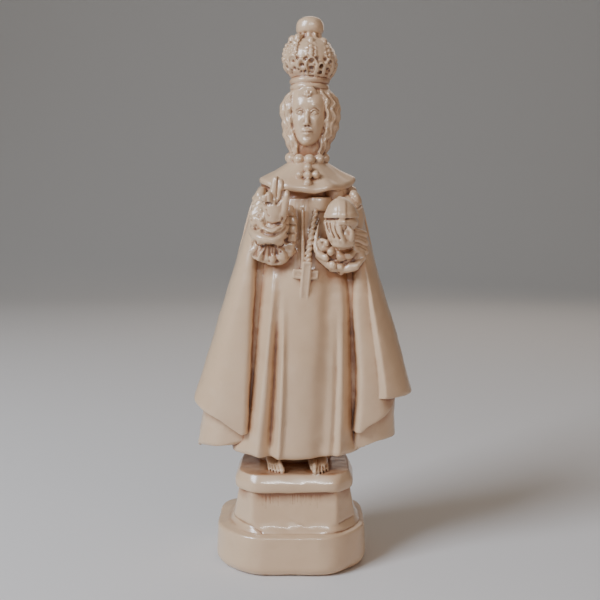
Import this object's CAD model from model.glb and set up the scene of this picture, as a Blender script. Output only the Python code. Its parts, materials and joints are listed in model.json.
"""Looks of a glazed statue of a crowned child on a stepped plinth.

The statue is one casting. Its forms are built as closed clay pieces, skinned over as one body,
softened as a thick glaze softens them, rubbed with a brown wash and glazed. Sizes are millimetres
of the casting, and a Blender metre is one metre.
"""
import json

import bpy
import numpy as np
import openvdb
from bpy.props import FloatProperty, FloatVectorProperty, IntProperty, PointerProperty
from bpy.types import Operator, Panel, PropertyGroup
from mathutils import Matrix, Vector
from mathutils.kdtree import KDTree

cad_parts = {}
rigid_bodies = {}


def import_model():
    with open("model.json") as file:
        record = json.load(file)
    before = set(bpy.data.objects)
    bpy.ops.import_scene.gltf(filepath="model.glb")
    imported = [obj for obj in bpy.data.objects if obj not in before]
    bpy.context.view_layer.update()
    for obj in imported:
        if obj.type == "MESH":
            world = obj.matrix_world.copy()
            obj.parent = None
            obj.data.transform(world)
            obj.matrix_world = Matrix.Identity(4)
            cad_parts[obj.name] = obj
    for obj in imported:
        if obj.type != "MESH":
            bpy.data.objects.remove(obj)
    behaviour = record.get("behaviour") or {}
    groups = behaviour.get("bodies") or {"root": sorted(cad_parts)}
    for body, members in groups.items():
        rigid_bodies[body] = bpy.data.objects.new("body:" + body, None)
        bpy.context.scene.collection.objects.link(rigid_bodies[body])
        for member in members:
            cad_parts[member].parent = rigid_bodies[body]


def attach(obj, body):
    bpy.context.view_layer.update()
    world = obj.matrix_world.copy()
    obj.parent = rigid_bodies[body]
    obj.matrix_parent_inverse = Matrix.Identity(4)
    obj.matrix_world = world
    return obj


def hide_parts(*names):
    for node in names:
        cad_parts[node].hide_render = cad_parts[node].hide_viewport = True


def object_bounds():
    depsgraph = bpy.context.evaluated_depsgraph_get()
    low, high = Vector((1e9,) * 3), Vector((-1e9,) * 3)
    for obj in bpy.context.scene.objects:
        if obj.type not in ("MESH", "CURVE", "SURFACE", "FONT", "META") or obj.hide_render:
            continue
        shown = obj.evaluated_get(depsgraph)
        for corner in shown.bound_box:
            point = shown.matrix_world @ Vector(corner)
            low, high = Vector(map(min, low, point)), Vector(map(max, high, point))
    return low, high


bl_info = {
    "name": "Glazed statue",
    "version": (1, 0, 0),
    "blender": (4, 5, 0),
    "location": "3D View > Sidebar > Statue",
    "description": "Builds a glazed statue of a crowned child in clay forms, with its wash and glaze",
    "category": "Add Mesh",
}

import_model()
CAD_LOW, CAD_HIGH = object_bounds()

PI = np.pi
MM = 0.001
# The height that the forms below are drawn to, and the slab's top, where the figure starts
DRAWN_TOP = 304.2
SLAB_TOP = 55.0
# The slab stands a little to the viewer's right of the block, and the figure leans further that way
SLAB_DRIFT = 1.9
LEAN = 8.2
LEAN_SETTLES = 85.0


# Curves and points of the casting

def mix(low, high, share):
    return low + (high - low) * share


def ease(value):
    value = np.clip(value, 0, 1)
    return value * value * (3 - 2 * value)


def bump(value, middle, width):
    return np.exp(-(((value - middle) / width) ** 2))


def curve(pairs):
    """A smooth line through pairs of place and value, with no overshoot."""
    places, values = np.array(pairs, float).T
    slopes = np.diff(values) / np.diff(places)
    same = slopes[:-1] * slopes[1:] > 0
    total = np.where(same, slopes[:-1] + slopes[1:], 1)
    bends = np.empty(len(places))
    bends[1:-1] = np.where(same, 2 * slopes[:-1] * slopes[1:] / total, 0)
    bends[0], bends[-1] = slopes[0], slopes[-1]

    def value(wanted):
        wanted = np.clip(np.asarray(wanted, float), places[0], places[-1])
        low = np.clip(np.searchsorted(places, wanted) - 1, 0, len(places) - 2)
        step = places[low + 1] - places[low]
        t = (wanted - places[low]) / step
        return ((2 * t**3 - 3 * t**2 + 1) * values[low] + (t**3 - 2 * t**2 + t) * step * bends[low]
                + (3 * t**2 - 2 * t**3) * values[low + 1] + (t**3 - t**2) * step * bends[low + 1])

    return value


def axis_at(height):
    """The figure's axis drifts to the viewer's right as it rises."""
    return LEAN * (1 - np.exp(-np.maximum(height, -20) / LEAN_SETTLES))


def figure(x, y, height):
    """Points of the figure, given from its leaning axis and their height above the slab."""
    x, y, height = np.broadcast_arrays(*(np.asarray(value, float) for value in (x, y, height)))
    return np.stack([x + axis_at(height) + SLAB_DRIFT, y, height + SLAB_TOP], -1)


def wander(points, length, seed):
    """A smooth random field of about unit size, whose lumps are of the given length."""
    random = np.random.default_rng(seed)
    waves = 14
    towards = random.normal(size=(waves, 3))
    towards /= np.linalg.norm(towards, axis=1)[:, None]
    rates = 2 * PI / (length * random.uniform(1.2, 2.6, waves))
    phases = random.uniform(0, 2 * PI, waves)
    field = np.zeros(len(points))
    for direction, rate, phase in zip(towards, rates, phases):
        field += np.sin(points @ direction * rate + phase)
    return field / np.sqrt(waves / 2)


# Closed clay pieces, each a pair of points and triangles

def closed(points, faces):
    """Turns a closed piece's faces outwards."""
    a, b, c = (points[faces[:, corner]] for corner in range(3))
    volume = np.einsum("ij,ij->i", a, np.cross(b, c)).sum()
    return points, faces if volume > 0 else faces[:, ::-1]


def skin(rings):
    """A closed skin over rings of points, with a fan of faces on each end."""
    rings = np.asarray(rings, float)
    rows, count = rings.shape[:2]
    points = np.vstack([rings.reshape(-1, 3), rings[0].mean(0), rings[-1].mean(0)])
    i = np.arange(count)
    j = (i + 1) % count
    base = np.arange(rows - 1)[:, None] * count
    a, b = base + i, base + j
    c, d = b + count, a + count
    foot, last = rows * count, (rows - 1) * count
    faces = [np.stack([a, b, c], -1).reshape(-1, 3), np.stack([a, c, d], -1).reshape(-1, 3),
             np.stack([np.full(count, foot), j, i], -1),
             np.stack([np.full(count, foot + 1), last + i, last + j], -1)]
    return closed(points, np.vstack(faces))


def turned(euler):
    """The matrix that turns by the three angles about X, then Y, then Z."""
    (cx, cy, cz), (sx, sy, sz) = np.cos(euler), np.sin(euler)
    about_x = np.array([[1, 0, 0], [0, cx, -sx], [0, sx, cx]])
    about_y = np.array([[cy, 0, sy], [0, 1, 0], [-sy, 0, cy]])
    about_z = np.array([[cz, -sz, 0], [sz, cz, 0], [0, 0, 1]])
    return about_z @ about_y @ about_x


def ball(centre, radii, turn=(0, 0, 0), sides=18):
    """A ball or an egg of the figure."""
    rows = max(6, sides // 2)
    rise = np.linspace(-0.5, 0.5, rows + 2)[1:-1] * PI
    around = np.arange(sides) / sides * 2 * PI
    unit = np.stack([np.cos(rise)[:, None] * np.cos(around), np.cos(rise)[:, None] * np.sin(around),
                     np.broadcast_to(np.sin(rise)[:, None], (rows, sides))], -1)
    poles = np.array([[0, 0, -1.0], [0, 0, 1.0]])
    points, faces = skin(unit)
    points[-2:] = poles
    return closed(points * radii @ turned(turn).T + figure(*centre), faces)


def through(points, count):
    """Points evenly spread in parameter on a smooth path through the given ones."""
    points = np.asarray(points, float)
    held = np.array([2 * points[0] - points[1], *points, 2 * points[-1] - points[-2]])
    place = np.linspace(0, len(points) - 1, count)
    low = np.clip(place.astype(int), 0, len(points) - 2)
    t = (place - low)[:, None]
    a, b, c, d = (held[low + step] for step in range(4))
    return 0.5 * (2 * b + (c - a) * t + (2 * a - 5 * b + 4 * c - d) * t**2 + (3 * b - a - 3 * c + d) * t**3)


def tube(points, radii, sides=14, rows=24, flat=1.0):
    """A limb, finger, lock or roll: rings along a smooth path, with round ends."""
    path = through(figure(*np.array(points, float).T), rows)
    thick = curve([(index / (len(radii) - 1), radius) for index, radius in enumerate(radii)])(
        np.linspace(0, 1, rows))
    along = np.gradient(path, axis=0)
    along /= np.linalg.norm(along, axis=1)[:, None]
    around = np.arange(sides) / sides * 2 * PI
    side = np.cross(along[0], (0, 1, 0))
    rings = []

    def ring(centre, tangent, radius):
        across = np.cross(tangent, side)
        return (centre + np.outer(np.cos(around), side) * radius
                + np.outer(np.sin(around), across) * radius * flat)

    for row in range(rows):
        side = side - along[row] * (side @ along[row])
        side /= np.linalg.norm(side)
        if row == 0:
            rings += [ring(path[0] - along[0] * thick[0] * np.sin(turn), along[0], thick[0] * np.cos(turn))
                      for turn in (1.4, 1.0, 0.5)]
        rings.append(ring(path[row], along[row], thick[row]))
    rings += [ring(path[-1] + along[-1] * thick[-1] * np.sin(turn), along[-1], thick[-1] * np.cos(turn))
              for turn in (0.5, 1.0, 1.4)]
    return skin(rings)


def lathe(centre, levels, sides=96, ribs=0, depth=0.0):
    """A turned form of the figure: levels are pairs of height and radius, and ribs run down its side."""
    around = np.arange(sides) / sides * 2 * PI
    rib = depth * np.cos(around * ribs)
    return skin([figure(centre[0] + (radius + rib) * np.cos(around),
                        centre[1] + (radius + rib) * np.sin(around), height) for height, radius in levels])


def gathered(pieces):
    """Several pieces as one set of points and faces."""
    points, faces, total = [], [], 0
    for piece_points, piece_faces in pieces:
        points.append(piece_points)
        faces.append(piece_faces + total)
        total += len(piece_points)
    return np.vstack(points), np.vstack(faces)


def mesh_of(name, points, faces):
    """A Blender mesh from arrays of points and triangles."""
    mesh = bpy.data.meshes.new(name)
    mesh.vertices.add(len(points))
    mesh.vertices.foreach_set("co", np.asarray(points, np.float32).ravel())
    mesh.loops.add(len(faces) * 3)
    mesh.loops.foreach_set("vertex_index", np.asarray(faces, np.int32).ravel())
    mesh.polygons.add(len(faces))
    mesh.polygons.foreach_set("loop_start", np.arange(0, len(faces) * 3, 3, dtype=np.int32))
    mesh.update(calc_edges=True)
    return mesh


def clay_collection():
    found = bpy.data.collections.get("clay")
    if found is None:
        found = bpy.data.collections.new("clay")
        bpy.context.scene.collection.children.link(found)
    return found


def add_clay(name, pieces):
    """Puts closed pieces, in millimetres, among the clay that the casting is made from."""
    old = bpy.data.objects.get(name)
    if old is not None:
        bpy.data.objects.remove(old)
    points, faces = gathered(pieces)
    clay_collection().objects.link(bpy.data.objects.new(name, mesh_of(name, points * MM, faces)))


def evaluated(thing):
    """The plain mesh that an object's modifiers make of it."""
    bpy.context.view_layer.update()
    return bpy.data.meshes.new_from_object(thing.evaluated_get(bpy.context.evaluated_depsgraph_get()))


# Node trees

MATH = "ShaderNodeMath"


def node(tree, kind, settings=None, links=None):
    """Adds one node with its settings, and its inputs, by name or in order, as values or linked sockets."""
    made = tree.nodes.new(kind)
    for name, value in (settings or {}).items():
        setattr(made, name, value)
    links = links or {}
    for name, value in links.items() if isinstance(links, dict) else enumerate(links):
        socket = made.inputs[name]
        if isinstance(value, bpy.types.NodeSocket):
            tree.links.new(value, socket)
        else:
            socket.default_value = value
    return made


def new_tree(name, inputs):
    """A geometry tree with a geometry input and output and the named inputs, and its input node."""
    tree = bpy.data.node_groups.new(name, "GeometryNodeTree")
    tree.interface.new_socket("Geometry", in_out="INPUT", socket_type="NodeSocketGeometry")
    for label, kind, default in inputs:
        made = tree.interface.new_socket(label, in_out="INPUT", socket_type="NodeSocket" + kind)
        if default is not None:
            made.default_value = default
    tree.interface.new_socket("Geometry", in_out="OUTPUT", socket_type="NodeSocketGeometry")
    return tree, tree.nodes.new("NodeGroupInput").outputs


def finish_tree(tree, geometry, material):
    """Ends a tree in real geometry with its material."""
    real = node(tree, "GeometryNodeRealizeInstances", links={"Geometry": geometry})
    dressed = node(tree, "GeometryNodeSetMaterial",
                   links={"Geometry": real.outputs["Geometry"], "Material": material})
    node(tree, "NodeGroupOutput", links={"Geometry": dressed.outputs["Geometry"]})
    return tree


def uneven_size(tree, given):
    """A random size about 1 for each copy, as uneven as the tree's inputs say."""
    least, most = (node(tree, MATH, {"operation": operation}, (1.0, given["Unevenness"])).outputs[0]
                   for operation in ("SUBTRACT", "ADD"))
    uneven = node(tree, "FunctionNodeRandomValue", {"data_type": "FLOAT"}, {"Seed": given["Seed"]})
    for socket, limit in zip([socket for socket in uneven.inputs if socket.enabled], (least, most)):
        tree.links.new(limit, socket)
    return [socket for socket in uneven.outputs if socket.enabled][0]


def ring_tree():
    """Copies of a form turned round an upright axis, each a little larger or smaller."""
    tree, given = new_tree("Ring of copies", [
        ("Count", "Int", 8), ("First Angle", "Float", 0.0), ("Centre", "Vector", None),
        ("Unevenness", "Float", 0.03), ("Seed", "Int", 1), ("Material", "Material", None)])
    points = node(tree, "GeometryNodePoints", links={"Count": given["Count"], "Position": given["Centre"]})
    index = node(tree, "GeometryNodeInputIndex").outputs[0]
    step = node(tree, MATH, {"operation": "DIVIDE"}, (2 * PI, given["Count"]))
    angle = node(tree, MATH, {"operation": "MULTIPLY_ADD"}, (index, step.outputs[0], given["First Angle"]))
    turn = node(tree, "ShaderNodeCombineXYZ", links={"Z": angle.outputs[0]}).outputs[0]
    copies = node(tree, "GeometryNodeInstanceOnPoints", links={
        "Points": points.outputs[0], "Instance": given["Geometry"], "Rotation": turn,
        "Scale": uneven_size(tree, given)})
    return finish_tree(tree, copies.outputs[0], given["Material"])


def bead_tree():
    """Beads threaded on a path, each a little larger or smaller."""
    tree, given = new_tree("Beads on a path", [
        ("Count", "Int", 9), ("Radius", "Float", 0.0025), ("Unevenness", "Float", 0.06),
        ("Seed", "Int", 3), ("Material", "Material", None)])
    path = node(tree, "GeometryNodeMeshToCurve", links={"Mesh": given["Geometry"]})
    spread = node(tree, "GeometryNodeResampleCurve",
                  links={"Curve": path.outputs[0], "Count": given["Count"]})
    bead = node(tree, "GeometryNodeMeshIcoSphere", links={"Radius": given["Radius"], "Subdivisions": 4})
    beads = node(tree, "GeometryNodeInstanceOnPoints", links={
        "Points": spread.outputs[0], "Instance": bead.outputs["Mesh"], "Scale": uneven_size(tree, given)})
    return finish_tree(tree, beads.outputs[0], given["Material"])


def rope_tree():
    """Two strands twisted round each other along a path."""
    tree, given = new_tree("Twisted rope", [
        ("Strand Radius", "Float", 0.0012), ("Twist Length", "Float", 0.018),
        ("Material", "Material", None)])
    path = node(tree, "GeometryNodeMeshToCurve", links={"Mesh": given["Geometry"]})
    even = node(tree, "GeometryNodeResampleCurve", links={"Curve": path.outputs[0], "Count": 160})
    length = node(tree, "GeometryNodeSplineParameter").outputs["Length"]
    share = node(tree, MATH, {"operation": "DIVIDE"}, (length, given["Twist Length"]))
    tilt = node(tree, MATH, {"operation": "MULTIPLY"}, (share.outputs[0], 2 * PI))
    twisted = node(tree, "GeometryNodeSetCurveTilt",
                   links={"Curve": even.outputs[0], "Tilt": tilt.outputs[0]})
    strand = node(tree, "GeometryNodeCurvePrimitiveCircle",
                  links={"Resolution": 12, "Radius": given["Strand Radius"]})
    both = node(tree, "GeometryNodeJoinGeometry")
    for side in (-0.62, 0.62):
        offset = node(tree, MATH, {"operation": "MULTIPLY"}, (given["Strand Radius"], side))
        move = node(tree, "ShaderNodeCombineXYZ", links={"X": offset.outputs[0]})
        moved = node(tree, "GeometryNodeTransform", links={
            "Geometry": strand.outputs["Curve"], "Translation": move.outputs[0]})
        tree.links.new(moved.outputs[0], both.inputs[0])
    rope = node(tree, "GeometryNodeCurveToMesh", links={
        "Curve": twisted.outputs[0], "Profile Curve": both.outputs[0], "Fill Caps": True})
    return finish_tree(tree, rope.outputs[0], given["Material"])


def grown(name, start, tree, values):
    """Runs a geometry tree on a mesh and puts the plain mesh that comes out among the clay."""
    seed = bpy.data.objects.new(name, start)
    clay_collection().objects.link(seed)
    modifier = seed.modifiers.new(tree.name, "NODES")
    modifier.node_group = tree
    for item in tree.interface.items_tree:
        if item.in_out == "INPUT" and item.name in values:
            modifier[item.identifier] = values[item.name]
    result = evaluated(seed)
    seed.modifiers.remove(modifier)
    seed.data = result


def path_mesh(name, points):
    """A path of the figure as a mesh of edges, in metres."""
    mesh = bpy.data.meshes.new(name)
    mesh.from_pydata((np.asarray(points) * MM).tolist(), [(i, i + 1) for i in range(len(points) - 1)], [])
    return mesh


def clay_material():
    found = bpy.data.materials.get("clay")
    return found if found is not None else bpy.data.materials.new("clay")


# Plinth

BLOCK_WIDTH = 85.5
BLOCK_DEPTH = 69.0
BLOCK_HEIGHT = 22.5
BLOCK_FOOT_RADIUS = 5.5
BLOCK_EDGE_RADIUS = 1.5
BLOCK_ROUNDING = 11.0
PEDESTAL_ROUNDING = 1.8
PEDESTAL_FOOT_ROUNDING = 10.0
SLAB_UNDERSIDE = 45.2
SLAB_THICKNESS = 9.8
SLAB_NOSE = 2.8
SLAB_ROUNDING = 4.5

# Levels of the pedestal from the block up: height, width, depth and width of the front face
PEDESTAL_LEVELS = [
    (23.8, 73.4, 59.4, 48.4), (24.9, 71.8, 57.4, 48.2), (26.4, 70.0, 55.4, 48.0),
    (28.6, 68.2, 53.8, 47.8), (31.4, 66.8, 52.6, 47.6), (38.0, 64.4, 50.2, 47.3), (44.2, 62.4, 48.4, 47.0),
    (45.0, 61.6, 47.6, 46.6)]


def plinth_ring(corners, height, drift, rounding):
    """One level of the plinth: cut corners, given for the right half and mirrored, and rounded."""
    corners = np.array([*corners, *[(-x, y) for x, y in reversed(corners)]], float)
    before, after = np.roll(corners, 1, 0), np.roll(corners, -1, 0)

    def towards(others):
        way = others - corners
        reach = np.linalg.norm(way, axis=1)
        return corners + way * np.minimum(rounding / reach, 0.46)[:, None]

    start, end = towards(before), towards(after)
    t = np.linspace(0, 1, 9)[None, :, None]
    bend = (1 - t) ** 2 * start[:, None] + 2 * t * (1 - t) * corners[:, None] + t**2 * end[:, None]
    flat = bend.reshape(-1, 2)
    return np.column_stack([flat[:, 0] + drift, flat[:, 1], np.full(len(flat), height)])


def block_ring(inset, height):
    side = BLOCK_WIDTH / 2 - inset
    face = BLOCK_DEPTH / 2 - inset
    return plinth_ring([(24 - inset / 2, -face), (side, -15), (side, 24 - inset), (32 - inset / 2, face)],
                       height, 0, BLOCK_ROUNDING)


def upper_ring(width, depth, face, side, height, rounding):
    return plinth_ring([(face / 2, -depth / 2), (width / 2, -side), (width / 2, side), (face / 2, depth / 2)],
                       height, SLAB_DRIFT, rounding)


def plinth_pieces():
    quarter = np.linspace(0, PI / 2, 9)
    rings = [block_ring(BLOCK_FOOT_RADIUS, 0)]
    rings += [block_ring(BLOCK_FOOT_RADIUS * (1 - np.sin(turn)), BLOCK_FOOT_RADIUS * (1 - np.cos(turn)))
              for turn in quarter[1:]]
    rings += [block_ring(0.7 + BLOCK_EDGE_RADIUS * (1 - np.cos(turn)),
                         BLOCK_HEIGHT - BLOCK_EDGE_RADIUS * (1 - np.sin(turn)))
              for turn in np.linspace(0, PI / 2.5, 7)]
    rings.append(block_ring(2.4, BLOCK_HEIGHT))
    rings.append(mix(block_ring(4.8, BLOCK_HEIGHT + 0.5),
                     upper_ring(75.4, 60.6, 48.5, 13, BLOCK_HEIGHT + 0.5, PEDESTAL_FOOT_ROUNDING), 0.5))
    rings += [upper_ring(width, depth, face, 13, height,
                         mix(PEDESTAL_FOOT_ROUNDING, PEDESTAL_ROUNDING, ease((height - 23) / 7)))
              for height, width, depth, face in PEDESTAL_LEVELS]
    # The slab's edge: upright below, and sloping back above the middle
    for share in np.sin(np.linspace(-1, 1, 19) * PI / 2):
        below = 1.4 * (1 - np.sqrt(1 - min(share, 0) ** 4))
        inset = 2 * (below + SLAB_NOSE * (0.75 * max(share, 0) + 0.3 * (1 - np.sqrt(1 - max(share, 0) ** 2))))
        rings.append(upper_ring(66 - inset, 56 - inset, 46, 18,
                                SLAB_UNDERSIDE + SLAB_THICKNESS * (1 + share) / 2, SLAB_ROUNDING))
    return [skin(rings)]


# Feet

def foot_pieces(instep, tips, slant):
    """A bare foot: an instep and a row of toes, given by their tips and thickness, set at a slant."""
    pieces = [tube(instep, [4.8, 4.7, 3.7], sides=24, flat=0.6)]
    for x, y, size in tips:
        start = (x - slant, y + 8.5, 3.4 + 1.1 * size)
        middle = (x - slant * 0.45, y + 3.4, 1.7 + 1.3 * size)
        pieces.append(tube([start, middle, (x, y, 0.2 + size)], [size, size * 0.95, size * 1.1], rows=14))
    return pieces


def feet_pieces():
    around = np.arange(40) / 40 * 2 * PI
    core = skin([figure(21 * np.cos(around), 7 + 12 * np.sin(around), height) for height in (-2, 6, 14)])
    left = foot_pieces([(-12.6, -4, 8), (-12.2, -10, 5.4), (-11.0, -16.2, 2.6)], [
        (-6.9, -23.0, 1.35), (-8.9, -22.2, 0.98), (-10.6, -21.4, 0.94), (-12.3, -19.9, 0.9),
        (-13.8, -18.0, 0.85)], 2.2)
    right = foot_pieces([(12.0, -4, 8), (13.2, -11, 5.4), (14.0, -17.6, 2.6)], [
        (11.2, -25.2, 1.45), (13.3, -24.4, 1.0), (15.1, -23.0, 0.96), (16.7, -21.0, 0.92),
        (18.0, -18.6, 0.85)], 0.5)
    ankle = tube([(8.6, -9, 8), (8.9, -14, 5), (10.2, -19.5, 1.8)], [2.2, 2.0, 1.8])
    return [core, *left, *right, ankle]


# Gown

GOWN_HEM = 9.6
GOWN_TOP = 150.0
gown_half_width = curve([(9, 37.5), (20, 33.5), (48, 30.5), (95, 27.5), (128, 22), (150, 17)])
gown_front = curve([(9, 24.6), (14, 25.4), (60, 26), (95, 24), (120, 20.5), (150, 17)])

# Folds of the gown: where each stands at the hem and at the waist, its width, how far it stands out
# of the gown or sinks in, and the height at which it has faded away
GOWN_FOLDS = [
    (-21.4, -17.4, 3.0, 3.0, 138),
    (-14.6, -14.6, 2.4, -2.8, 104),
    (-9.6, -11.6, 1.9, 2.2, 108),
    (-1.0, -3.0, 7.5, 0.4, 90),
    (13.6, 13.0, 4.6, -2.2, 132),
    (20.0, 17.6, 1.5, -1.0, 98),
    (24.0, 20.6, 2.4, 1.9, 112),
]


def gown_relief(x, height):
    share = np.clip((height - GOWN_HEM) / 85, 0, 1) ** 1.3
    relief = np.zeros(np.broadcast(x, height).shape)
    for low, high, width, depth, ends in GOWN_FOLDS:
        relief = relief + depth * ease((ends - height) / 42) * bump(x, mix(low, high, share), width)
    flutes = ease((height - 110) / 8) * bump(x, -1.0, 7.0)
    return relief + 0.2 * np.cos(x * 2.2 + 0.9) * flutes


def gown_pieces():
    turns = np.concatenate([np.linspace(PI, 2 * PI, 420), np.linspace(0, PI, 60)[1:-1]])
    heights = np.concatenate([GOWN_HEM + 2.6 * (1 - np.cos(np.linspace(0, PI / 2, 8))),
                              np.linspace(GOWN_HEM + 3.2, GOWN_TOP, 150)])
    tucks = np.concatenate([1 - 0.05 * (1 - np.sin(np.linspace(0, PI / 2, 8))), np.ones(150)])
    front = np.maximum(0, -np.sin(turns))
    rings = []

    def ring(height, tuck):
        sag = -1.7 * bump(np.cos(turns), 0.05, 0.55) * (np.sin(turns) < 0) * ease((60 - height) / 60)
        level = height + sag
        x = gown_half_width(height) * np.cos(turns)
        flare = 0.7 * bump(height, GOWN_HEM + 2, 3.2)
        outline = -(gown_front(height) + flare) * front ** 0.62
        y = np.where(np.sin(turns) < 0, outline - gown_relief(x, height) * np.clip(front * 2.5, 0, 1),
                     18 * np.sin(turns))
        return figure(x * tuck, y * tuck, level)

    rings.append(ring(GOWN_HEM + 3.5, 0.8))
    rings.append(ring(GOWN_HEM + 1.2, 0.88))
    for height, tuck in zip(heights, tucks):
        rings.append(ring(height, tuck))
    # Flat floors of the valleys between the gown and the cape's front edges
    left = [(-27.8, -11.6, 16), (-27.4, -13.6, 28), (-27.2, -14.4, 42), (-26.6, -13.4, 95),
            (-25.6, -10.0, 122)]
    right = [(30.8, -8.4, 16), (30.4, -11.2, 28), (30.0, -12.6, 42), (26.4, -13.0, 95), (24.6, -10.0, 122)]
    valleys = [tube(path, [5.0, 5.0, 5.0, 4.6], sides=28, rows=60, flat=0.5) for path in (left, right)]
    return [skin(rings), *valleys]


# Cape

SHOULDER_HEIGHT = 156.0
SHOULDER_HALF_WIDTH = 27.5
CAPE_FLARE = 0.2815
CAPE_TOP = 161.0
cape_edge = curve([(8, 30.4), (40, 31.2), (95, 30.8), (118, 30), (134, 23.6), (156, 12), (161, 8)])
right_edge_shift = curve([(8, 3.8), (42, 3.6), (95, -0.7), (125, -0.7)])
cape_front = curve([(8, 21), (50, 21.5), (95, 20), (125, 17.5), (150, 15), (161, 11)])
cape_back = curve([(8, 25), (60, 23.5), (110, 20.5), (150, 17.5), (156, 16), (161, 10)])
back_half_width = curve([
    (8, 57), (30, 54.5), (48, 54.6), (66, 51.6), (110, 40.4), (156, 27.4), (161, 18)])


def front_half_width(height):
    below = SHOULDER_HALF_WIDTH + (SHOULDER_HEIGHT - height) * CAPE_FLARE
    above = mix(SHOULDER_HALF_WIDTH, 21, (height - SHOULDER_HEIGHT) / (CAPE_TOP - SHOULDER_HEIGHT))
    return np.where(height < SHOULDER_HEIGHT, below, above)


def pleated_half_width(height):
    return front_half_width(height) - 5.6 * ease((100 - height) / 62)


def edge_of(side, height):
    """How far the cape's front edge is from the middle, on either side."""
    return cape_edge(height) + np.where(side > 0, right_edge_shift(height), 0)


def cape_point(side, share, height, wide, recess=0.0):
    """The cape's section: share 0 is the front edge, 1 the side and 2 the middle of the back."""
    edge, front = edge_of(side, height), cape_front(height) - recess
    turn = np.clip(share, 0, 1) * PI / 2
    x = mix(edge, wide, np.sin(turn) ** 1.15)
    y = -front * np.cos(turn) ** 0.9
    lip = np.clip(-share / 0.1, 0, 1)
    roll = np.minimum(lip / 0.6, 1) * PI / 2
    x = np.where(share < 0, edge - 3.3 * np.sin(roll) - 2.4 * np.clip((lip - 0.6) / 0.4, 0, 1), x)
    y = np.where(share < 0, -front + 3.6 * (1 - np.cos(roll)) + 7 * np.clip((lip - 0.6) / 0.4, 0, 1), y)
    behind = (np.clip(share, 1, 2) - 1) * PI / 2
    folds = (1 + 0.05 * np.cos(behind * 9) * ease((150 - height) / 120)
             + 0.018 * np.cos(behind * 20 + 1 + side * (PI / 2 - behind)) * ease((140 - height) / 100))
    x = np.where(share > 1, wide * np.cos(behind), x)
    y = np.where(share > 1, cape_back(height) * np.sin(behind) * folds, y)
    soft = 0.5 * np.sin(height / 16 + side) * bump(share, 0.5, 0.3) * ease((150 - height) / 60)
    swell = 1.1 * bump(share, 0.42, 0.2) * ease((120 - height) / 80) - soft
    return figure(side * x, y - np.where((share > 0) & (share < 1), swell, 0), height)


left_front_hem = curve([(0, 20.5), (0.12, 23.5), (0.32, 29.0), (0.55, 32.8), (1, 38.5)])
right_front_hem = curve([(0, 21.5), (0.15, 25.0), (0.34, 28.4), (0.56, 33.2), (0.85, 38.8), (1, 40.6)])


def front_hem(side, share):
    """The front hem slants up to the corner."""
    along = np.clip(share, 0, 1)
    return np.where(side < 0, left_front_hem(along), right_front_hem(along))


def back_hem(side, share):
    """The back hem hangs lowest on the viewer's left."""
    return 12.2 + 2.6 * side * (2 - share) + 0.8 * np.cos(share * 9)


def cape_stations(shares, middle=()):
    """The sides and shares of a layer's section: out on the viewer's right, and back on the left."""
    return np.array([*[(1, share) for share in shares], *middle,
                     *[(-1, share) for share in reversed(shares)]]).T


def cape_pieces():
    shares = np.concatenate([np.linspace(-0.1, 0, 14)[:-1], np.linspace(0, 1, 70), [1.004],
                             np.linspace(1.02, 1.985, 90)])
    side, share = cape_stations(shares, [(1, 2.0)])
    hem = np.where(share > 1.01, back_hem(side, share), front_hem(side, share))
    beside_edge = 1 - ease(share / 0.3)
    rings = []

    def ring(height, shrink):
        wide_front = np.where(side < 0, front_half_width(height), pleated_half_width(height))
        wide = np.where(share > 1, back_half_width(height), wide_front)
        points = cape_point(side, share, height, wide)
        centre = figure(0, 2, height)
        # The hollow under the hem turns away from the valley at the front edges
        narrow = mix(shrink, 1.4 - 0.4 * shrink, beside_edge)
        points[:, 0] = mix(centre[:, 0], points[:, 0], narrow)
        points[:, 1] = mix(centre[:, 1], points[:, 1], shrink)
        return points

    every = np.ones(len(share))
    rings.append(ring(hem + 3.2, every * 0.86))
    rings.append(ring(hem + 1.0, every * 0.93))
    for turn in np.linspace(0, PI / 2, 6)[:-1]:
        rings.append(ring(hem + 1.5 * (1 - np.cos(turn)), every * (1 - 0.03 * (1 - np.sin(turn)))))
    for row in np.linspace(0.02, 1, 130):
        rings.append(ring(mix(hem, SHOULDER_HEIGHT, row), every))
    for row in np.linspace(0.2, 1, 6):
        rings.append(ring(np.full(len(share), mix(SHOULDER_HEIGHT, CAPE_TOP, row)), every))
    return [skin(rings)]


def under_layer_pieces():
    """The layer that shows below the slanted front hem on both sides."""
    left_hem = curve([(0, 17), (0.3, 14), (1, 9.8)])
    right_hem = curve([(0, 11), (0.5, 15.6), (1, 15)])
    shares = np.concatenate([np.linspace(-0.1, 0, 6)[:-1], np.linspace(0, 1.4, 90)])
    side, share = cape_stations(shares)
    hem = np.where(side < 0, left_hem(share), right_hem(share))
    inside = 1.004 - 0.2 * ease((share - 1.15) / 0.2)
    rings = []
    for row in np.linspace(0, 1, 50):
        height = mix(hem, 46, row)
        tuck = 1 - 0.05 * (1 - min(1, row / 0.05)) ** 2
        rings.append(cape_point(side, share, height, back_half_width(height) * inside * tuck, 5))
    return [skin(rings)]


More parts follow.
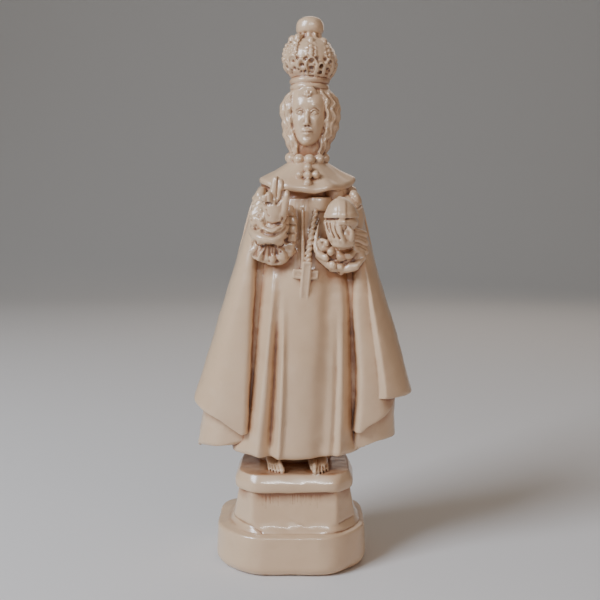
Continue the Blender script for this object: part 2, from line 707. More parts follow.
def pleat_pieces():
    """The pleat that laps over the front layer on the viewer's right."""
    standing = curve([(41, 1.066), (83, 1.045), (100, 1.015), (118, 0.96)])
    shares = np.linspace(0.24, 1, 60)
    rings = []
    for height in np.concatenate([[41, 41.5, 42.4], np.linspace(44, 118, 70)]):
        stand = float(standing(height)) - 0.035 * max(0, 1 - (height - 41) / 1.6) ** 2

        def point(share, scale, lift):
            turn = share * PI / 2
            x = mix(edge_of(1, height), front_half_width(height), np.sin(turn) ** 1.15)
            y = -cape_front(height) * np.cos(turn) ** 0.9 * scale - lift
            return figure(x * scale, y, height)

        lifts = 1.4 * ease((shares - 0.24) / 0.05)
        scales = mix(0.97, stand, ease((shares - 0.24) / 0.04))
        outer = point(shares, scales, lifts)
        inner = point(shares, 0.86, 0)[::-1]
        rings.append(np.vstack([outer, inner]))
    return [skin(rings)]


# Collar and bodice

COLLAR_HALF_WIDTH = 26.6
COLLAR_RIM = 160.0
COLLAR_DROOP = 7.0
COLLAR_FRONT_DROOP = 5.2
NECKLINE = 171.0
NECKLINE_RADIUS = 9.6


def collar_pieces():
    turn = np.arange(540) / 540 * 2 * PI
    facing = np.abs(np.sin(turn)) ** 1.3
    wave = 0.03 * np.cos(turn * 7 + 0.9) + 0.012 * np.cos(turn * 13 + 2)
    in_front = ease(0.5 - 2 * np.sin(turn))
    droop = mix(COLLAR_DROOP, COLLAR_FRONT_DROOP + 0.9 * np.cos(turn), in_front)
    levels = [(-0.6, 0.78, 0), (-1.4, 0.86, 0), (-1.9, 0.94, 0), (-1.3, 0.985, 0), (0, 1, 0), (1.2, 0.99, 0),
              (2, 0.965, 0)]
    levels += [(2, 0.965, climb) for climb in np.linspace(0.04, 1, 40)]
    rings = []
    for rise, reach, climb in levels:
        rim_x = COLLAR_HALF_WIDTH * np.cos(turn) * (1 + wave * 0.5) * reach
        depth = np.where(np.sin(turn) < 0, 22.5, 19.5)
        rim_y = depth * np.sin(turn) * (1 + wave) * reach
        rim_height = COLLAR_RIM - droop * facing + 14 * wave + rise
        bow = 1 - 0.05 * np.sin(climb * PI) - 0.008 * np.cos(turn * 7 + 0.9) * np.sin(climb * PI)
        rings.append(figure(mix(rim_x, NECKLINE_RADIUS * np.cos(turn), climb) * bow,
                            mix(rim_y, NECKLINE_RADIUS * np.sin(turn), climb) * bow,
                            mix(rim_height, NECKLINE, climb)))
    return [skin(rings)]


def bodice_pieces():
    turn = np.arange(160) / 160 * 2 * PI

    def ring(height, wide, front):
        return figure(wide * np.cos(turn), np.where(np.sin(turn) < 0, front, 12) * np.sin(turn), height)

    chest = skin([ring(height, 17, 15.6) for height in (122, 141, 160)])
    band = [ring(143, 10.4, 16.2)]
    for share in np.sin(np.linspace(-1, 1, 9) * PI / 2):
        swell = 0.8 * np.sqrt(1 - share * share)
        band.append(ring(147 + 3.9 * share, 11.2 + swell, 18.5 + swell))
    band.append(ring(151, 10.4, 16.2))
    points, faces = skin(band)
    return [chest, (points + np.array([6.2, 0, 0]), faces), ball((15.5, -8.5, 152), (7.5, 7, 8))]


# Frills

def ruffled(turn, ridges):
    """1 on each ridge and -1 in the groove between two ridges, for ridges at the given angles."""
    places = np.sort(np.radians(np.array(ridges, float)) % (2 * PI))
    places = np.concatenate([[places[-1] - 2 * PI], places, [places[0] + 2 * PI]])
    return np.cos(2 * PI * np.interp(turn % (2 * PI), places, np.arange(len(places))))


def frill(centre, radii, ridges, tip):
    """A ruffled disc round a sleeve's mouth, tipped to face forwards and up."""
    turn = np.arange(600) / 600 * 2 * PI
    lobe = ruffled(turn, ridges)
    plump = np.sign(lobe) * np.abs(lobe) ** 0.8
    rings = []
    for depth, reach, ruffle in FRILL_ROWS:
        radius = reach * (1 + 0.06 * plump * ruffle)
        out = depth + 0.95 * plump * ruffle
        x = radii[0] * radius * np.cos(turn)
        up = radii[1] * radius * np.sin(turn)
        height = up * np.cos(tip) + out * np.sin(tip)
        forward = out * np.cos(tip) - up * np.sin(tip)
        rings.append(figure(centre[0] + x, centre[1] - forward + 1.2 * np.abs(np.cos(turn)),
                            centre[2] + height))
    return skin(rings)


# Rows of a frill from the back over its edge to the front: how far out, how wide and how ruffled
FRILL_ROWS = [(-5, 0.5, 0), (-2.6, 0.8, 0.3), (-1.2, 0.95, 0.8), (0.2, 1.0, 1), (1.3, 0.985, 1),
              (1.9, 0.94, 1), (1.6, 0.86, 1), (0.6, 0.74, 0.9), (-1.2, 0.62, 0.6), (-3.4, 0.5, 0.2)]
# Where the ridges of each frill are, in degrees round it
BLESSING_RIDGES = [-163, -146, -121, -106, -87, -60, -24, 3, 22, 41, 62, 86, 108, 126, 142, 157, 177]
GLOBE_RIDGES = [-172, -150, -118, -94, -60, -28, -4, 18, 40, 62, 84, 106, 130, 156]


def lobe(start, end, small, large):
    """A plump fold of a frill, from the sleeve's mouth out to its edge."""
    middle = [mix(a, b, 0.5) for a, b in zip(start, end)]
    return tube([start, middle, end], [small, mix(small, large, 0.7), large], sides=18, rows=14)


def lace(centre, radii, count, low, high, seed):
    """Small scallops of lace scattered over the outer side of a sleeve."""
    random = np.random.default_rng(seed)
    pieces = []
    for across, up, size in zip(*(random.uniform(0, 1, count) for _ in range(3))):
        x, height = mix(low[0], high[0], across), mix(low[1], high[1], up)
        inside = 1 - ((x - centre[0]) / radii[0]) ** 2 - ((height - centre[2]) / radii[2]) ** 2
        if inside > 0:
            y = centre[1] - radii[1] * np.sqrt(inside)
            radius = mix(0.8, 1.3, size)
            pieces.append(ball((x, y + 0.45, height), (radius, radius, radius * 0.9), sides=12))
    return pieces


BLESSING_SLEEVE = ((-21.6, -11.5, 138.5), (8.9, 10.5, 13.5))
GLOBE_SLEEVE = ((22.4, -10.5, 138.5), (9.4, 10.5, 14))


# Plump folds: where each starts and ends, and how thick it is there
BLESSING_FOLDS = [
    ((-26.6, -23.2, 125.6), (-28.4, -22.6, 121.6), 1.5, 2.3),
    ((-22.4, -24.6, 124.2), (-24.6, -24.0, 119.2), 1.2, 2.7),
    ((-20.5, -25.0, 123.6), (-20.8, -24.6, 117.8), 0.8, 1.7),
    ((-17.9, -25.2, 123.4), (-17.4, -24.6, 117.4), 0.8, 2.2),
    ((-14.4, -25.0, 124.0), (-12.8, -24.4, 119.4), 1.5, 3.3),
    ((-10.4, -23.8, 124.2), (-9.0, -23.4, 121.2), 1.6, 2.6)]
# An inner row, an outer row and the right side
GLOBE_FOLDS = [
    ((14.0, -24.4, 123.8), (13.3, -25.4, 121.8), 0.9, 1.9),
    ((7.0, -23.2, 120.2), (10.6, -24.2, 118.6), 1.7, 1.8),
    ((18.2, -25.0, 121.4), (18.6, -25.8, 118.8), 1.2, 2.5),
    ((27.2, -24.0, 122.4), (22.6, -25.8, 119.8), 1.7, 2.1),
    ((14.8, -23.6, 116.4), (13.8, -24.2, 114.8), 1.2, 2.2),
    ((18.6, -24.0, 115.2), (18.8, -24.4, 113.6), 1.1, 1.9),
    ((9.4, -22.4, 117.2), (11.2, -22.8, 115.8), 1.5, 1.6),
    ((21.0, -23.6, 112.8), (26.4, -24.2, 114.2), 1.8, 2.4),
    ((26.0, -24.0, 114.2), (30.8, -22.2, 118.4), 2.3, 2.0),
    ((24.8, -23.2, 132.6), (31.0, -19.0, 130.4), 2.4, 2.4),
    ((25.2, -23.6, 128.8), (31.4, -19.6, 126.4), 2.4, 2.5),
    ((25.6, -23.8, 124.8), (31.6, -19.8, 122.0), 2.4, 2.5)]


def sleeve_pieces():
    return [
        # The sleeves, their shoulders, the frills' discs and the cloth behind them
        ball(*BLESSING_SLEEVE, sides=48),
        ball(*GLOBE_SLEEVE, sides=48),
        ball((-25.4, -11, 150.2), (3.6, 5, 6.6), (0.2, 0.25, 0)),
        ball((26.4, -13.0, 149.6), (3.1, 3.8, 5.6), (0.1, -0.42, 0)),
        frill((-17.0, -19.2, 126.0), (12.2, 11.8), BLESSING_RIDGES, 0.22),
        frill((20.0, -18.4, 123.2), (13.2, 13.8), GLOBE_RIDGES, 0.16),
        ball((-17.6, -17.6, 124.2), (10.8, 9.4, 8.6), sides=40),
        ball((20.4, -16.8, 121.6), (11.4, 9.2, 10.6), sides=40),
        *lace(*BLESSING_SLEEVE, 46, (-31, 131), (-23.4, 149), 11),
        # The turned-back cuff under the blessing hand and its cup
        tube([(-29.4, -21.0, 132.4), (-27.2, -25.0, 130.6), (-25, -27.8, 129.4), (-22, -29.4, 128.4),
              (-18.4, -30, 128.2), (-14.8, -29.4, 129.0), (-12.0, -27.6, 131.6), (-10.6, -25.8, 135.4),
              (-10.2, -24.4, 140.6)], [1.7, 2.5, 2.7, 2.7, 2.4, 1.7, 1.1], sides=22, rows=52),
        ball((-19.2, -23.2, 130.2), (9.4, 7.4, 4.4), sides=32),
        ball((-23.6, -27.8, 127.4), (3.2, 2.4, 2.6)),
        ball((-14.9, -27.6, 127.0), (3.6, 2.4, 2.7)),
        ball((-27.0, -25.4, 128.8), (2.2, 2.2, 2.2)),
        # The flat pleats at its inner end are one band, grooved later
        tube([(-8.8, -19.6, 144.6), (-7.7, -21.2, 140), (-7.3, -22.6, 134), (-7.5, -23.2, 128.6),
              (-8.6, -23.4, 123.6)], [2.0, 2.3, 2.4, 2.5, 2.6], sides=24, rows=40, flat=0.8),
        # The folds that fan out below that cuff, the cloth between them and the rim that joins them
        *[lobe(*fold) for fold in BLESSING_FOLDS],
        ball((-17.8, -19.2, 121.6), (11.2, 6.6, 5.8), sides=40),
        tube([(-29.0, -21.6, 121.0), (-26.8, -22.4, 118.6), (-24.4, -23.0, 117.8), (-21.0, -23.6, 116.3),
              (-17.6, -23.8, 115.7), (-13.6, -23.6, 115.9), (-10.6, -22.8, 117.8), (-8.6, -22.0, 120.8)],
             [1.3, 1.4, 1.3], rows=48),
        # The long smooth fold beside the globe, its curled end and the bead in it
        tube([(7.2, -18.2, 139), (6.2, -20.0, 134), (5.4, -21.4, 128.6), (5.2, -22.2, 125),
              (5.9, -23, 121.8), (7.8, -23.8, 120.6)], [0.6, 0.9, 1.1, 1.2, 1.0], rows=40),
        tube([(6.6, -22.0, 126.2), (7.6, -23.2, 127.6), (9.0, -23.6, 127.9), (10.4, -24.2, 127.2)],
             [0.6, 0.7, 0.7], rows=20),
        ball((8.4, -20.8, 124.6), (3.4, 2.6, 4.4)),
        ball((10.9, -24.8, 126.0), (1.15, 1.4, 1.9)),
        # The crumpled folds round the hand that holds the globe, with their cloth and rim
        *[lobe(*fold) for fold in GLOBE_FOLDS],
        ball((20.2, -18.6, 118.4), (11.6, 6.2, 8.4), sides=40),
        ball((27.0, -21.3, 119.6), (5.2, 3.6, 5.0), sides=24),
        tube([(6.4, -21.6, 119.2), (9.6, -22.4, 116.0), (13.4, -22.8, 113.0), (17.8, -23.0, 111.8),
              (22.0, -23.0, 111.9), (26.4, -22.6, 113.4), (30.4, -21.2, 117.2)],
             [1.2, 1.3, 1.2], rows=48)]


# Blessing hand

def blessing_hand_pieces():
    ring = [(-17.7 + 5.9 * np.cos(turn), -26 + 4.8 * np.sin(turn),
             137.0 + 4.3 * np.sin(turn) + 0.7 * np.cos(turn)) for turn in np.linspace(-PI, 0, 13)]
    return [
        tube([(-17.6, -26, 131), (-17.5, -27.8, 137.5), (-17.3, -29, 143), (-17.0, -29.4, 147.4)],
             [3.9, 4.1, 5.3, 5.2], sides=28, flat=0.72),
        tube([(-17.5, -29.4, 144), (-17.3, -30.4, 152), (-16.4, -30.2, 159.6)], [2.3, 2.25, 2.1]),
        tube([(-14.5, -29.4, 144), (-14.3, -30.6, 151.6), (-14.0, -30.2, 158.2)], [2.3, 2.2, 2.0]),
        tube([(-13.6, -28.4, 138.8), (-11.8, -30.2, 145), (-10.9, -31.2, 150), (-10.6, -31.2, 152.6)],
             [2.8, 2.3, 1.8, 1.5]),
        tube([(-20, -29.0, 145), (-20.5, -31.2, 150.6), (-20.0, -33, 151.4), (-19.7, -33, 148.8)],
             [1.8, 1.9, 1.8, 1.5]),
        tube([(-21.6, -28.4, 143.6), (-22.6, -30.6, 149.4), (-22.3, -32.2, 150.4), (-22.0, -32.2, 147.8)],
             [1.6, 1.7, 1.6, 1.4]),
        ball((-13.8, -29.2, 142), (3.0, 2.8, 4.2), (0, -0.35, 0)),
        tube(ring, [1.4, 1.8, 1.4], rows=40),
    ]


# Globe and its hand

GLOBE = (18.0, -28.0, 139.0)
GLOBE_RADIUS = 8.9
GLOBE_RISE = 11.2


def globe_pieces():
    """The globe, taller above its raised belt, with an upright band and the stub of what stood on it."""
    rise = np.linspace(-1, 1, 120)
    height = np.where(rise > 0, GLOBE_RISE, GLOBE_RADIUS) * np.sin(rise * PI / 2)
    radius = GLOBE_RADIUS * np.cos(rise * PI / 2)
    band = 0.4 * ease((3.8 - np.abs(height)) / 0.6) - 1.2 * bump(height, 0, 0.5)
    around = np.arange(120) / 120 * 2 * PI
    away = np.abs((around + PI / 2 + PI) % (2 * PI) - PI) * radius[:, None]
    meridian = 0.8 * ease((2.2 - away) / 0.5)
    x = (radius + band)[:, None] + meridian
    rings = figure(GLOBE[0] + x * np.cos(around), GLOBE[1] + x * np.sin(around),
                   GLOBE[2] + np.broadcast_to(height[:, None], x.shape))
    return [skin(rings[1:-1]), ball((17.2, -28.6, 150.0), (1.2, 1.4, 0.9)),
            ball((19.2, -28.4, 149.7), (1.1, 1.2, 0.9))]


def globe_hand_pieces():
    fingers = [((10.1, -32.8, 137.0), (11.2, -33.6, 133.0), (12.8, -33.2, 129.0)),
               ((12.1, -35.0, 137.2), (13.1, -35.4, 132.8), (14.9, -34.6, 128.4)),
               ((14.3, -36.4, 137.0), (15.4, -36.4, 132.4), (17.2, -35.4, 127.8)),
               ((16.7, -37.0, 135.6), (17.7, -36.8, 131.8), (19.4, -35.6, 127.2))]
    return [*[tube(finger, [1.1, 1.2, 1.3]) for finger in fingers],
            tube([(21.9, -35.6, 134.2), (23.4, -35.4, 132.4), (23.2, -34.4, 129)], [1.2, 1.5, 1.8]),
            ball((20.9, -33.6, 131.0), (3.0, 2.8, 4.0)),
            ball((19.0, -30.6, 127.4), (6.6, 5.6, 4.4), (0.2, 0.1, 0), 28),
            ball((19.6, -29.8, 125.8), (5.6, 4.8, 2.4), (0.1, 0.05, 0), 28)]


# Cords, cross and necklace

def on_gown(x, height, stand):
    """A point that stands a little off the gown's front."""
    return np.array([x, -float(gown_front(height)) - stand, height])


def cross_pieces():
    """The cross's two bars, with soft edges and a shallow hollow face, hung a little askew."""
    tilt = -0.06

    def bar(width, tall, x, height, deep):
        rings = []
        for y, inset in ((0, 0), (-deep + 0.5, 0), (-deep + 0.1, 0.25), (-deep, 0.7), (-deep + 0.35, 1.1),
                         (-deep + 0.35, 1.2)):
            half, top = width / 2 - inset, tall / 2 - inset
            across = np.array([-half, half, half, -half])
            up = np.array([-top, -top, top, top])
            rings.append(figure(x + across * np.cos(tilt) - up * np.sin(tilt),
                                -float(gown_front(height)) + y - 0.12 * up,
                                height + across * np.sin(tilt) + up * np.cos(tilt)))
        return skin(rings)

    return [bar(4.6, 21.5, 0.3, 105.6, 2.4), bar(13.6, 4.6, 0.2, 109.6, 2.5)]


def bead_pieces():
    hanging = [(0.2, -15.4, 166.4, 2.3), (-4.1, -16.8, 162.6, 2.2), (0.4, -17.8, 162.4, 2.3),
               (4.7, -17.0, 162.8, 2.2), (0.2, -19.6, 158.4, 2.2), (0.4, -20.4, 155.6, 1.2)]
    return [ball((x, y, height), (radius, radius, radius), sides=24) for x, y, height, radius in hanging]


# Head

HEAD_MIDDLE = (0.8, 0.0, 196.0)
HEAD_TURN = 0.1


def head_place(x, y, rise):
    """A place of the figure, from its place on the head before the head is turned."""
    return (HEAD_MIDDLE[0] + x * np.cos(HEAD_TURN) + y * np.sin(HEAD_TURN),
            HEAD_MIDDLE[1] - x * np.sin(HEAD_TURN) + y * np.cos(HEAD_TURN), HEAD_MIDDLE[2] + rise)


face_half = curve([(-17.4, 2.4), (-16.6, 4.4), (-14.4, 6.5), (-11, 8.1), (-6, 9.4), (0, 10.2), (6, 10.5),
                   (13.4, 10.0)])
face_depth = curve([(-17.4, 8.8), (-16.6, 10.4), (-14.4, 11.5), (-11, 11.8), (-6, 12.0), (0, 12.2), (5, 12.5),
                    (9, 11.7), (13.4, 9.2)])


def face_front(x, rise):
    """The egg of the face: how far forward it is."""
    across = np.clip(np.abs(x) / face_half(rise), 0, 1)
    return -face_depth(rise) * (1 - across**2) ** 0.38


def face_relief(x, rise):
    """The soft forms of a plain young face: eye sockets, cheeks, and the dips round the mouth."""
    side = np.abs(x)
    return (-2.2 * bump(side, 3.9, 2.3) * bump(rise, 0.4, 1.7)
            + 0.8 * bump(side, 5.0, 2.4) * bump(rise, -5.4, 3.2)
            + 0.9 * bump(x, 0, 3.0) * bump(rise, -10.4, 1.9) - 0.35 * bump(x, 0, 0.5) * bump(rise, -8.6, 0.8)
            - 0.5 * bump(side, 3.4, 0.8) * bump(rise, -10.3, 1.0)
            - 0.5 * bump(x, 0, 2.6) * bump(rise, -12.9, 0.7)
            + 0.9 * bump(x, 0, 2.4) * bump(rise, -15.2, 1.6))


def on_face(x, rise, stand):
    return head_place(x, float(face_front(x, rise)) - stand, rise)


def face_tube(places, radii):
    return tube([on_face(*place) for place in places], radii, sides=12, rows=24)


def face_pieces():
    """An egg with soft sockets and cheeks, and on it eyes with lids, brows, a nose and lips."""
    turn = np.concatenate([np.linspace(PI, 2 * PI, 260), np.linspace(0, PI, 40)[1:-1]])
    rings = []
    for rise in np.linspace(-17.4, 13.4, 190):
        wide = face_half(rise) * np.cos(turn)
        front = np.sin(turn) < 0
        deep = np.where(front, face_front(wide, rise) - face_relief(wide, rise) * ease(-np.sin(turn) * 2.2),
                        6 * np.sin(turn))
        rings.append(figure(*head_place(wide, deep, rise)))
    pieces = [skin(rings)]
    for side in (-1, 1):
        pieces.append(ball(on_face(side * 3.9, 0.0, -1.45), (2.0, 1.5, 1.25), (0, 0, -side * 0.25)))
        pieces.append(face_tube([(side * 1.8, -0.1, -0.9), (side * 2.8, 1.15, -0.1), (side * 4.1, 1.5, 0.15),
                                 (side * 5.3, 1.0, -0.1), (side * 6.2, -0.15, -0.8)], [0.3, 0.5, 0.5, 0.3]))
        pieces.append(face_tube([(side * 2.0, -0.5, -0.95), (side * 3.9, -1.6, -0.4),
                                 (side * 6.0, -0.5, -0.9)], [0.3, 0.42, 0.3]))
        pieces.append(face_tube([(side * 1.6, 2.9, -0.5), (side * 4.0, 4.1, -0.25), (side * 7.0, 2.9, -0.5)],
                                [0.45, 0.7, 0.4]))
        pieces.append(ball(on_face(side * 1.4, -6.3, 0.4), (0.8, 1.1, 0.75)))
    pieces.append(face_tube([(0, 2.4, -1.4), (0, -0.6, -0.6), (0, -3.6, 0.6), (0, -6.0, 1.45)],
                            [1.1, 1.2, 1.3, 1.35]))
    pieces.append(face_tube([(-2.8, -10.0, 0.15), (-1.1, -9.4, 0.7), (0, -9.65, 0.7), (1.1, -9.4, 0.7),
                             (2.8, -10.0, 0.15)], [0.4, 0.6, 0.4]))
    pieces.append(face_tube([(-2.3, -10.9, 0.2), (0, -11.4, 0.7), (2.3, -10.9, 0.2)], [0.4, 0.75, 0.4]))
    return pieces


def face_strokes():
    """Fine lines that crisp the face: between the lips, under the upper lids and below the nose."""
    lines = [([(-2.9, -10.25), (0, -10.4), (2.9, -10.25)], 0.28, 0.7)]
    for side in (-1, 1):
        lines += [([(side * 2.1, -0.1), (side * 3.0, 0.7), (side * 4.1, 0.95), (side * 5.2, 0.5),
                    (side * 6.0, -0.25)], 0.26, 0.6),
                  ([(side * 2.3, -0.55), (side * 3.9, -1.2), (side * 5.7, -0.55)], 0.22, 0.35),
                  ([(side * 2.2, 1.3), (side * 4.1, 2.35), (side * 6.2, 1.4)], 0.35, 0.3),
                  ([(side * 0.7, -7.3), (side * 1.2, -7.4)], 0.38, 0.7)]
    return [(figure(*np.array([on_face(*place, 0.0) for place in line]).T), width, depth)
            for line, width, depth in lines]


# Half widths of the hair and of the face's opening in it, for the viewer's left and right
hair_half = {
    -1: curve([(-22, 9.4), (-20, 10.4), (-16, 12.1), (-11, 13.9), (-6.5, 14.3), (-2.7, 14.8), (2.7, 16.0),
               (8, 14.4), (12.6, 10.8), (13.4, 10.2)]),
    1: curve([(-22, 9.0), (-20, 10.2), (-15, 11.8), (-11, 14.2), (-5.4, 16.3), (0, 16.9), (4, 16.8),
              (9, 15.0), (12.6, 12.0), (13.4, 11.2)])}
hair_opening = {
    -1: curve([(-22, 5.4), (-17, 6.0), (-12, 8.0), (-6, 9.3), (3, 9.8), (8, 9.7), (11, 9.0), (13.4, 7.6)]),
    1: curve([(-22, 5.2), (-17, 6.0), (-12, 8.0), (-8, 9.0), (0, 9.3), (4.6, 8.0), (9, 6.3), (13.4, 4.6)])}
hair_front = curve([(-22, 8.2), (-14, 9.6), (-6, 10.3), (4, 10.9), (9, 10.9), (13.4, 9.4)])
hair_back = curve([(-22, 9.4), (-10, 13), (4, 15), (13.4, 11.6)])


def hair_pieces():
    """Hair parted over the forehead, falling in fine wavy locks on both sides and behind."""
    turn = np.arange(900) / 900 * 2 * PI
    side = np.where(np.cos(turn) < 0, -1, 1)
    rings = []
    for rise in np.linspace(-22, 13.4, 200):
        sway = 0.075 * np.sin(rise * 0.75 + 1.3 * side + 2 * turn) * np.sign(np.cos(turn))
        locks = np.cos(20 * (turn + sway) + 0.4 * side)
        strands = np.cos(56 * (turn + 1.2 * sway) + 0.7 * np.sin(rise * 0.33))
        waves = np.sin(rise * 1.15 + 2.6 * np.cos(2 * turn) + side)
        calm = ease((13.4 - rise) / 2.5)
        relief = calm * (0.42 * locks + 0.3 * strands + 0.26 * waves)
        half = np.where(side < 0, hair_half[-1](rise), hair_half[1](rise))
        edge = np.where(side < 0, hair_opening[-1](rise), hair_opening[1](rise))
        wide = half + relief
        away = np.abs(np.cos(turn)) * wide - edge
        front = hair_front(rise) + relief + 0.35 * bump(away, 1.3, 1.0)
        inner = mix(front * 0.82, front, ease((away + 0.5) / 1.6))
        deep = np.where(np.sin(turn) < 0, inner, hair_back(rise) + relief)
        rings.append(figure(HEAD_MIDDLE[0] + wide * np.cos(turn), deep * np.sin(turn), HEAD_MIDDLE[2] + rise))
    return [skin(rings)]


def forehead_jewel_pieces():
    """A round plate that hangs from the crown over the forehead, with a beaded rosette on it."""
    x, y, height = head_place(-0.1, -10.7, 10.6)
    pieces = [ball((x, y, height), (5.2, 1.5, 3.9), (0.3, 0, 0), sides=32),
              ball((x, y - 0.9, height), (2.1, 0.9, 2.0), (0.3, 0, 0), sides=20)]
    for step in range(8):
        turn = step / 8 * 2 * PI
        place = (x + 1.9 * np.cos(turn), y - 1.2 + 0.6 * np.sin(turn), height + 1.8 * np.sin(turn))
        pieces.append(ball(place, (0.75, 0.75, 0.75), sides=10))
    pieces.append(ball((x, y - 1.7, height), (0.9, 0.9, 0.9), sides=12))
    return pieces


def neck_pieces():
    return [tube([(0.2, 0, 166), (0.5, 0, 174), (0.7, 0, 182), (0.8, 1.2, 192)], [8.4, 9.2, 10.2, 10.6],
                 sides=40, flat=0.78)]


# Crown

CROWN_MIDDLE = 0.9
CROWN_ARCHES = 8
CROWN_FIRST = 0.05
bulb = curve([(216, 10.2), (217.7, 11.5), (220.4, 13.0), (223, 13.8), (225.7, 14.0), (228.4, 13.8),
              (231.5, 12.9), (233.7, 11.7), (236, 10.0), (237.4, 8.2)])
panel = curve([(216, 10.2), (217.7, 11.5), (220.4, 13.0), (223, 13.8), (225.7, 14.0), (228.4, 13.6),
               (231, 12.6), (233, 11.2), (234.6, 9.6), (235.8, 8.0), (236.4, 6.8)])


def crown_pieces():
    """The crown's double band and bulb, the ribbed neck over it and the flattened cap."""
    band = [(208.8, 9.4), (209.3, 10.2)]
    for middle, swell in ((210.6, 1.5), (213.9, 1.7)):
        band += [(middle + swell * np.sin(turn), 9.4 + swell * np.cos(turn))
                 for turn in np.linspace(-1.45, 1.45, 9)]
    dome = [(height, float(panel(height))) for height in np.linspace(216, 236.4, 40)]
    neck = [(235, 6.8), (236.4, 6.6), (237.6, 6.2), (239, 6.0), (239.8, 5.9)]
    cap = [(239.4, 5.6), (239.9, 6.9), (241, 7.5), (243, 7.55), (245, 7.2), (246.4, 6.4), (247.4, 5.0),
           (248.1, 3.0), (248.4, 1.2)]
    return [lathe((CROWN_MIDDLE, 0), band + dome), lathe((CROWN_MIDDLE, 0), neck, ribs=11, depth=0.4),
            lathe((CROWN_MIDDLE, 0), cap)]


def on_bulb(angle, height, stand):
    """A point on the crown's bulb for a form that stands at its front, before it is copied round."""
    reach = float(panel(height)) + stand
    return (reach * np.sin(angle), -reach * np.cos(angle), height)


def crown_tube(points, radii, rows=20, sides=12, flat=1.0):
    """A tube of the crown about its own axis, in millimetres, ready to be copied round it."""
    made, faces = tube(points, radii, sides=sides, rows=rows, flat=flat)
    shift = axis_at(made[:, 2] - SLAB_TOP) + SLAB_DRIFT
    made = made - np.column_stack([shift, np.zeros(len(made)), np.zeros(len(made))])
    return made, faces


def crown_ball(centre, radii, sides=12):
    made, faces = ball(centre, radii, sides=sides)
    shift = float(axis_at(centre[2]) + SLAB_DRIFT)
    return made - np.array([shift, 0, 0]), faces


def beaded_arch():
    """A rib over the bulb with beads on it, and a knob where it ends."""
    spine = [on_bulb(0, height, -0.5) for height in np.linspace(223, 235.6, 8)]
    pieces = [crown_tube(spine, [2.3, 2.1, 1.8], flat=0.45)]
    pieces += [crown_ball(on_bulb(0, height, 0.5), (1.3, 0.9, 1.1))
               for height in np.arange(227.2, 234.6, 2.2)]
    pieces += [crown_ball(on_bulb(side * 0.17, height, 0.2), (0.8, 0.8, 1.0))
               for side in (-1, 1) for height in np.arange(226.3, 233, 2.2)]
    pieces.append(crown_ball((0, -9.4, 235.0), (2.0, 2.2, 1.9), 16))
    return pieces


def petal(half, top, foot):
    """A leaf on the bulb: a looped rim on two short columns, round a hollow."""
    turn = half / 13.5
    shoulder = mix(foot, top, 0.58)
    rim = [on_bulb(-turn * 0.8, foot, 0.2), on_bulb(-turn * 0.85, mix(foot, shoulder, 0.6), 0.5),
           on_bulb(-turn, shoulder, 0.7), on_bulb(-turn * 0.62, mix(shoulder, top, 0.72), 0.7),
           on_bulb(0, top, 0.75), on_bulb(turn * 0.62, mix(shoulder, top, 0.72), 0.7),
           on_bulb(turn, shoulder, 0.7), on_bulb(turn * 0.85, mix(foot, shoulder, 0.6), 0.5),
           on_bulb(turn * 0.8, foot, 0.2)]
    return [crown_tube(rim, [0.75, 0.85, 0.75], rows=44, sides=10),
            crown_ball(on_bulb(0, mix(foot, top, 0.5), 0.1), (half * 0.55, 0.9, 0.7)),
            crown_ball(on_bulb(0, foot + 0.2, 0.1), (half * 0.6, 0.8, 0.6))]


# Pits pressed into the crown: the angle from an arch in eighths of a turn, height, radius and depth
CROWN_PITS = [(0, 223.0, 1.4, 1.3), (0, 219.4, 1.3, 1.1), (0.5, 220.8, 1.2, 1.5),
              (0.38, 217.4, 0.9, 1.1), (0.62, 217.4, 0.9, 1.1), (0.28, 224.2, 1.2, 0.9),
              (0.72, 224.2, 1.2, 0.9), (0.25, 218.6, 0.9, 1.0), (0.75, 218.6, 0.9, 1.0)]


def crown_pits():
    """The crown's pits all round it, as centres in millimetres with their radius and depth."""
    pits = []
    for arch in range(CROWN_ARCHES):
        for place, height, radius, depth in CROWN_PITS:
            angle = CROWN_FIRST + (arch + place) / CROWN_ARCHES * 2 * PI
            reach = float(bulb(height)) + 0.4
            centre = figure(CROWN_MIDDLE + reach * np.sin(angle), -reach * np.cos(angle), height)
            pits.append((centre, radius, depth))
    return pits


# The casting: one skin over the clay, softened, engraved and washed

def smoothed(points, edges, rounds, pull=0.5):
    """Points drawn towards the mean of their neighbours, a few rounds."""
    count = len(points)
    a, b = edges[:, 0], edges[:, 1]
    degree = np.bincount(a, minlength=count) + np.bincount(b, minlength=count)
    for _ in range(rounds):
        total = np.empty_like(points)
        for axis in range(points.shape[1]):
            total[:, axis] = (np.bincount(a, points[b, axis], count) + np.bincount(b, points[a, axis], count))
        points = points + pull * (total / degree[:, None] - points)
    return points


def mesh_arrays(mesh):
    """A mesh's points in millimetres, its triangles and its edges."""
    mesh.calc_loop_triangles()
    points = np.empty(len(mesh.vertices) * 3, np.float32)
    mesh.vertices.foreach_get("co", points)
    faces = np.empty(len(mesh.loop_triangles) * 3, np.int32)
    mesh.loop_triangles.foreach_get("vertices", faces)
    edges = np.empty(len(mesh.edges) * 2, np.int32)
    mesh.edges.foreach_get("vertices", edges)
    return points.reshape(-1, 3).astype(float) / MM, faces.reshape(-1, 3), edges.reshape(-1, 2)


def normals_of(points, faces):
    a, b, c = (points[faces[:, corner]] for corner in range(3))
    flat = np.cross(b - a, c - a)
    total = np.zeros_like(points)
    for corner in range(3):
        for axis in range(3):
            total[:, axis] += np.bincount(faces[:, corner], flat[:, axis], len(points))
    return total / np.maximum(np.linalg.norm(total, axis=1), 1e-12)[:, None]


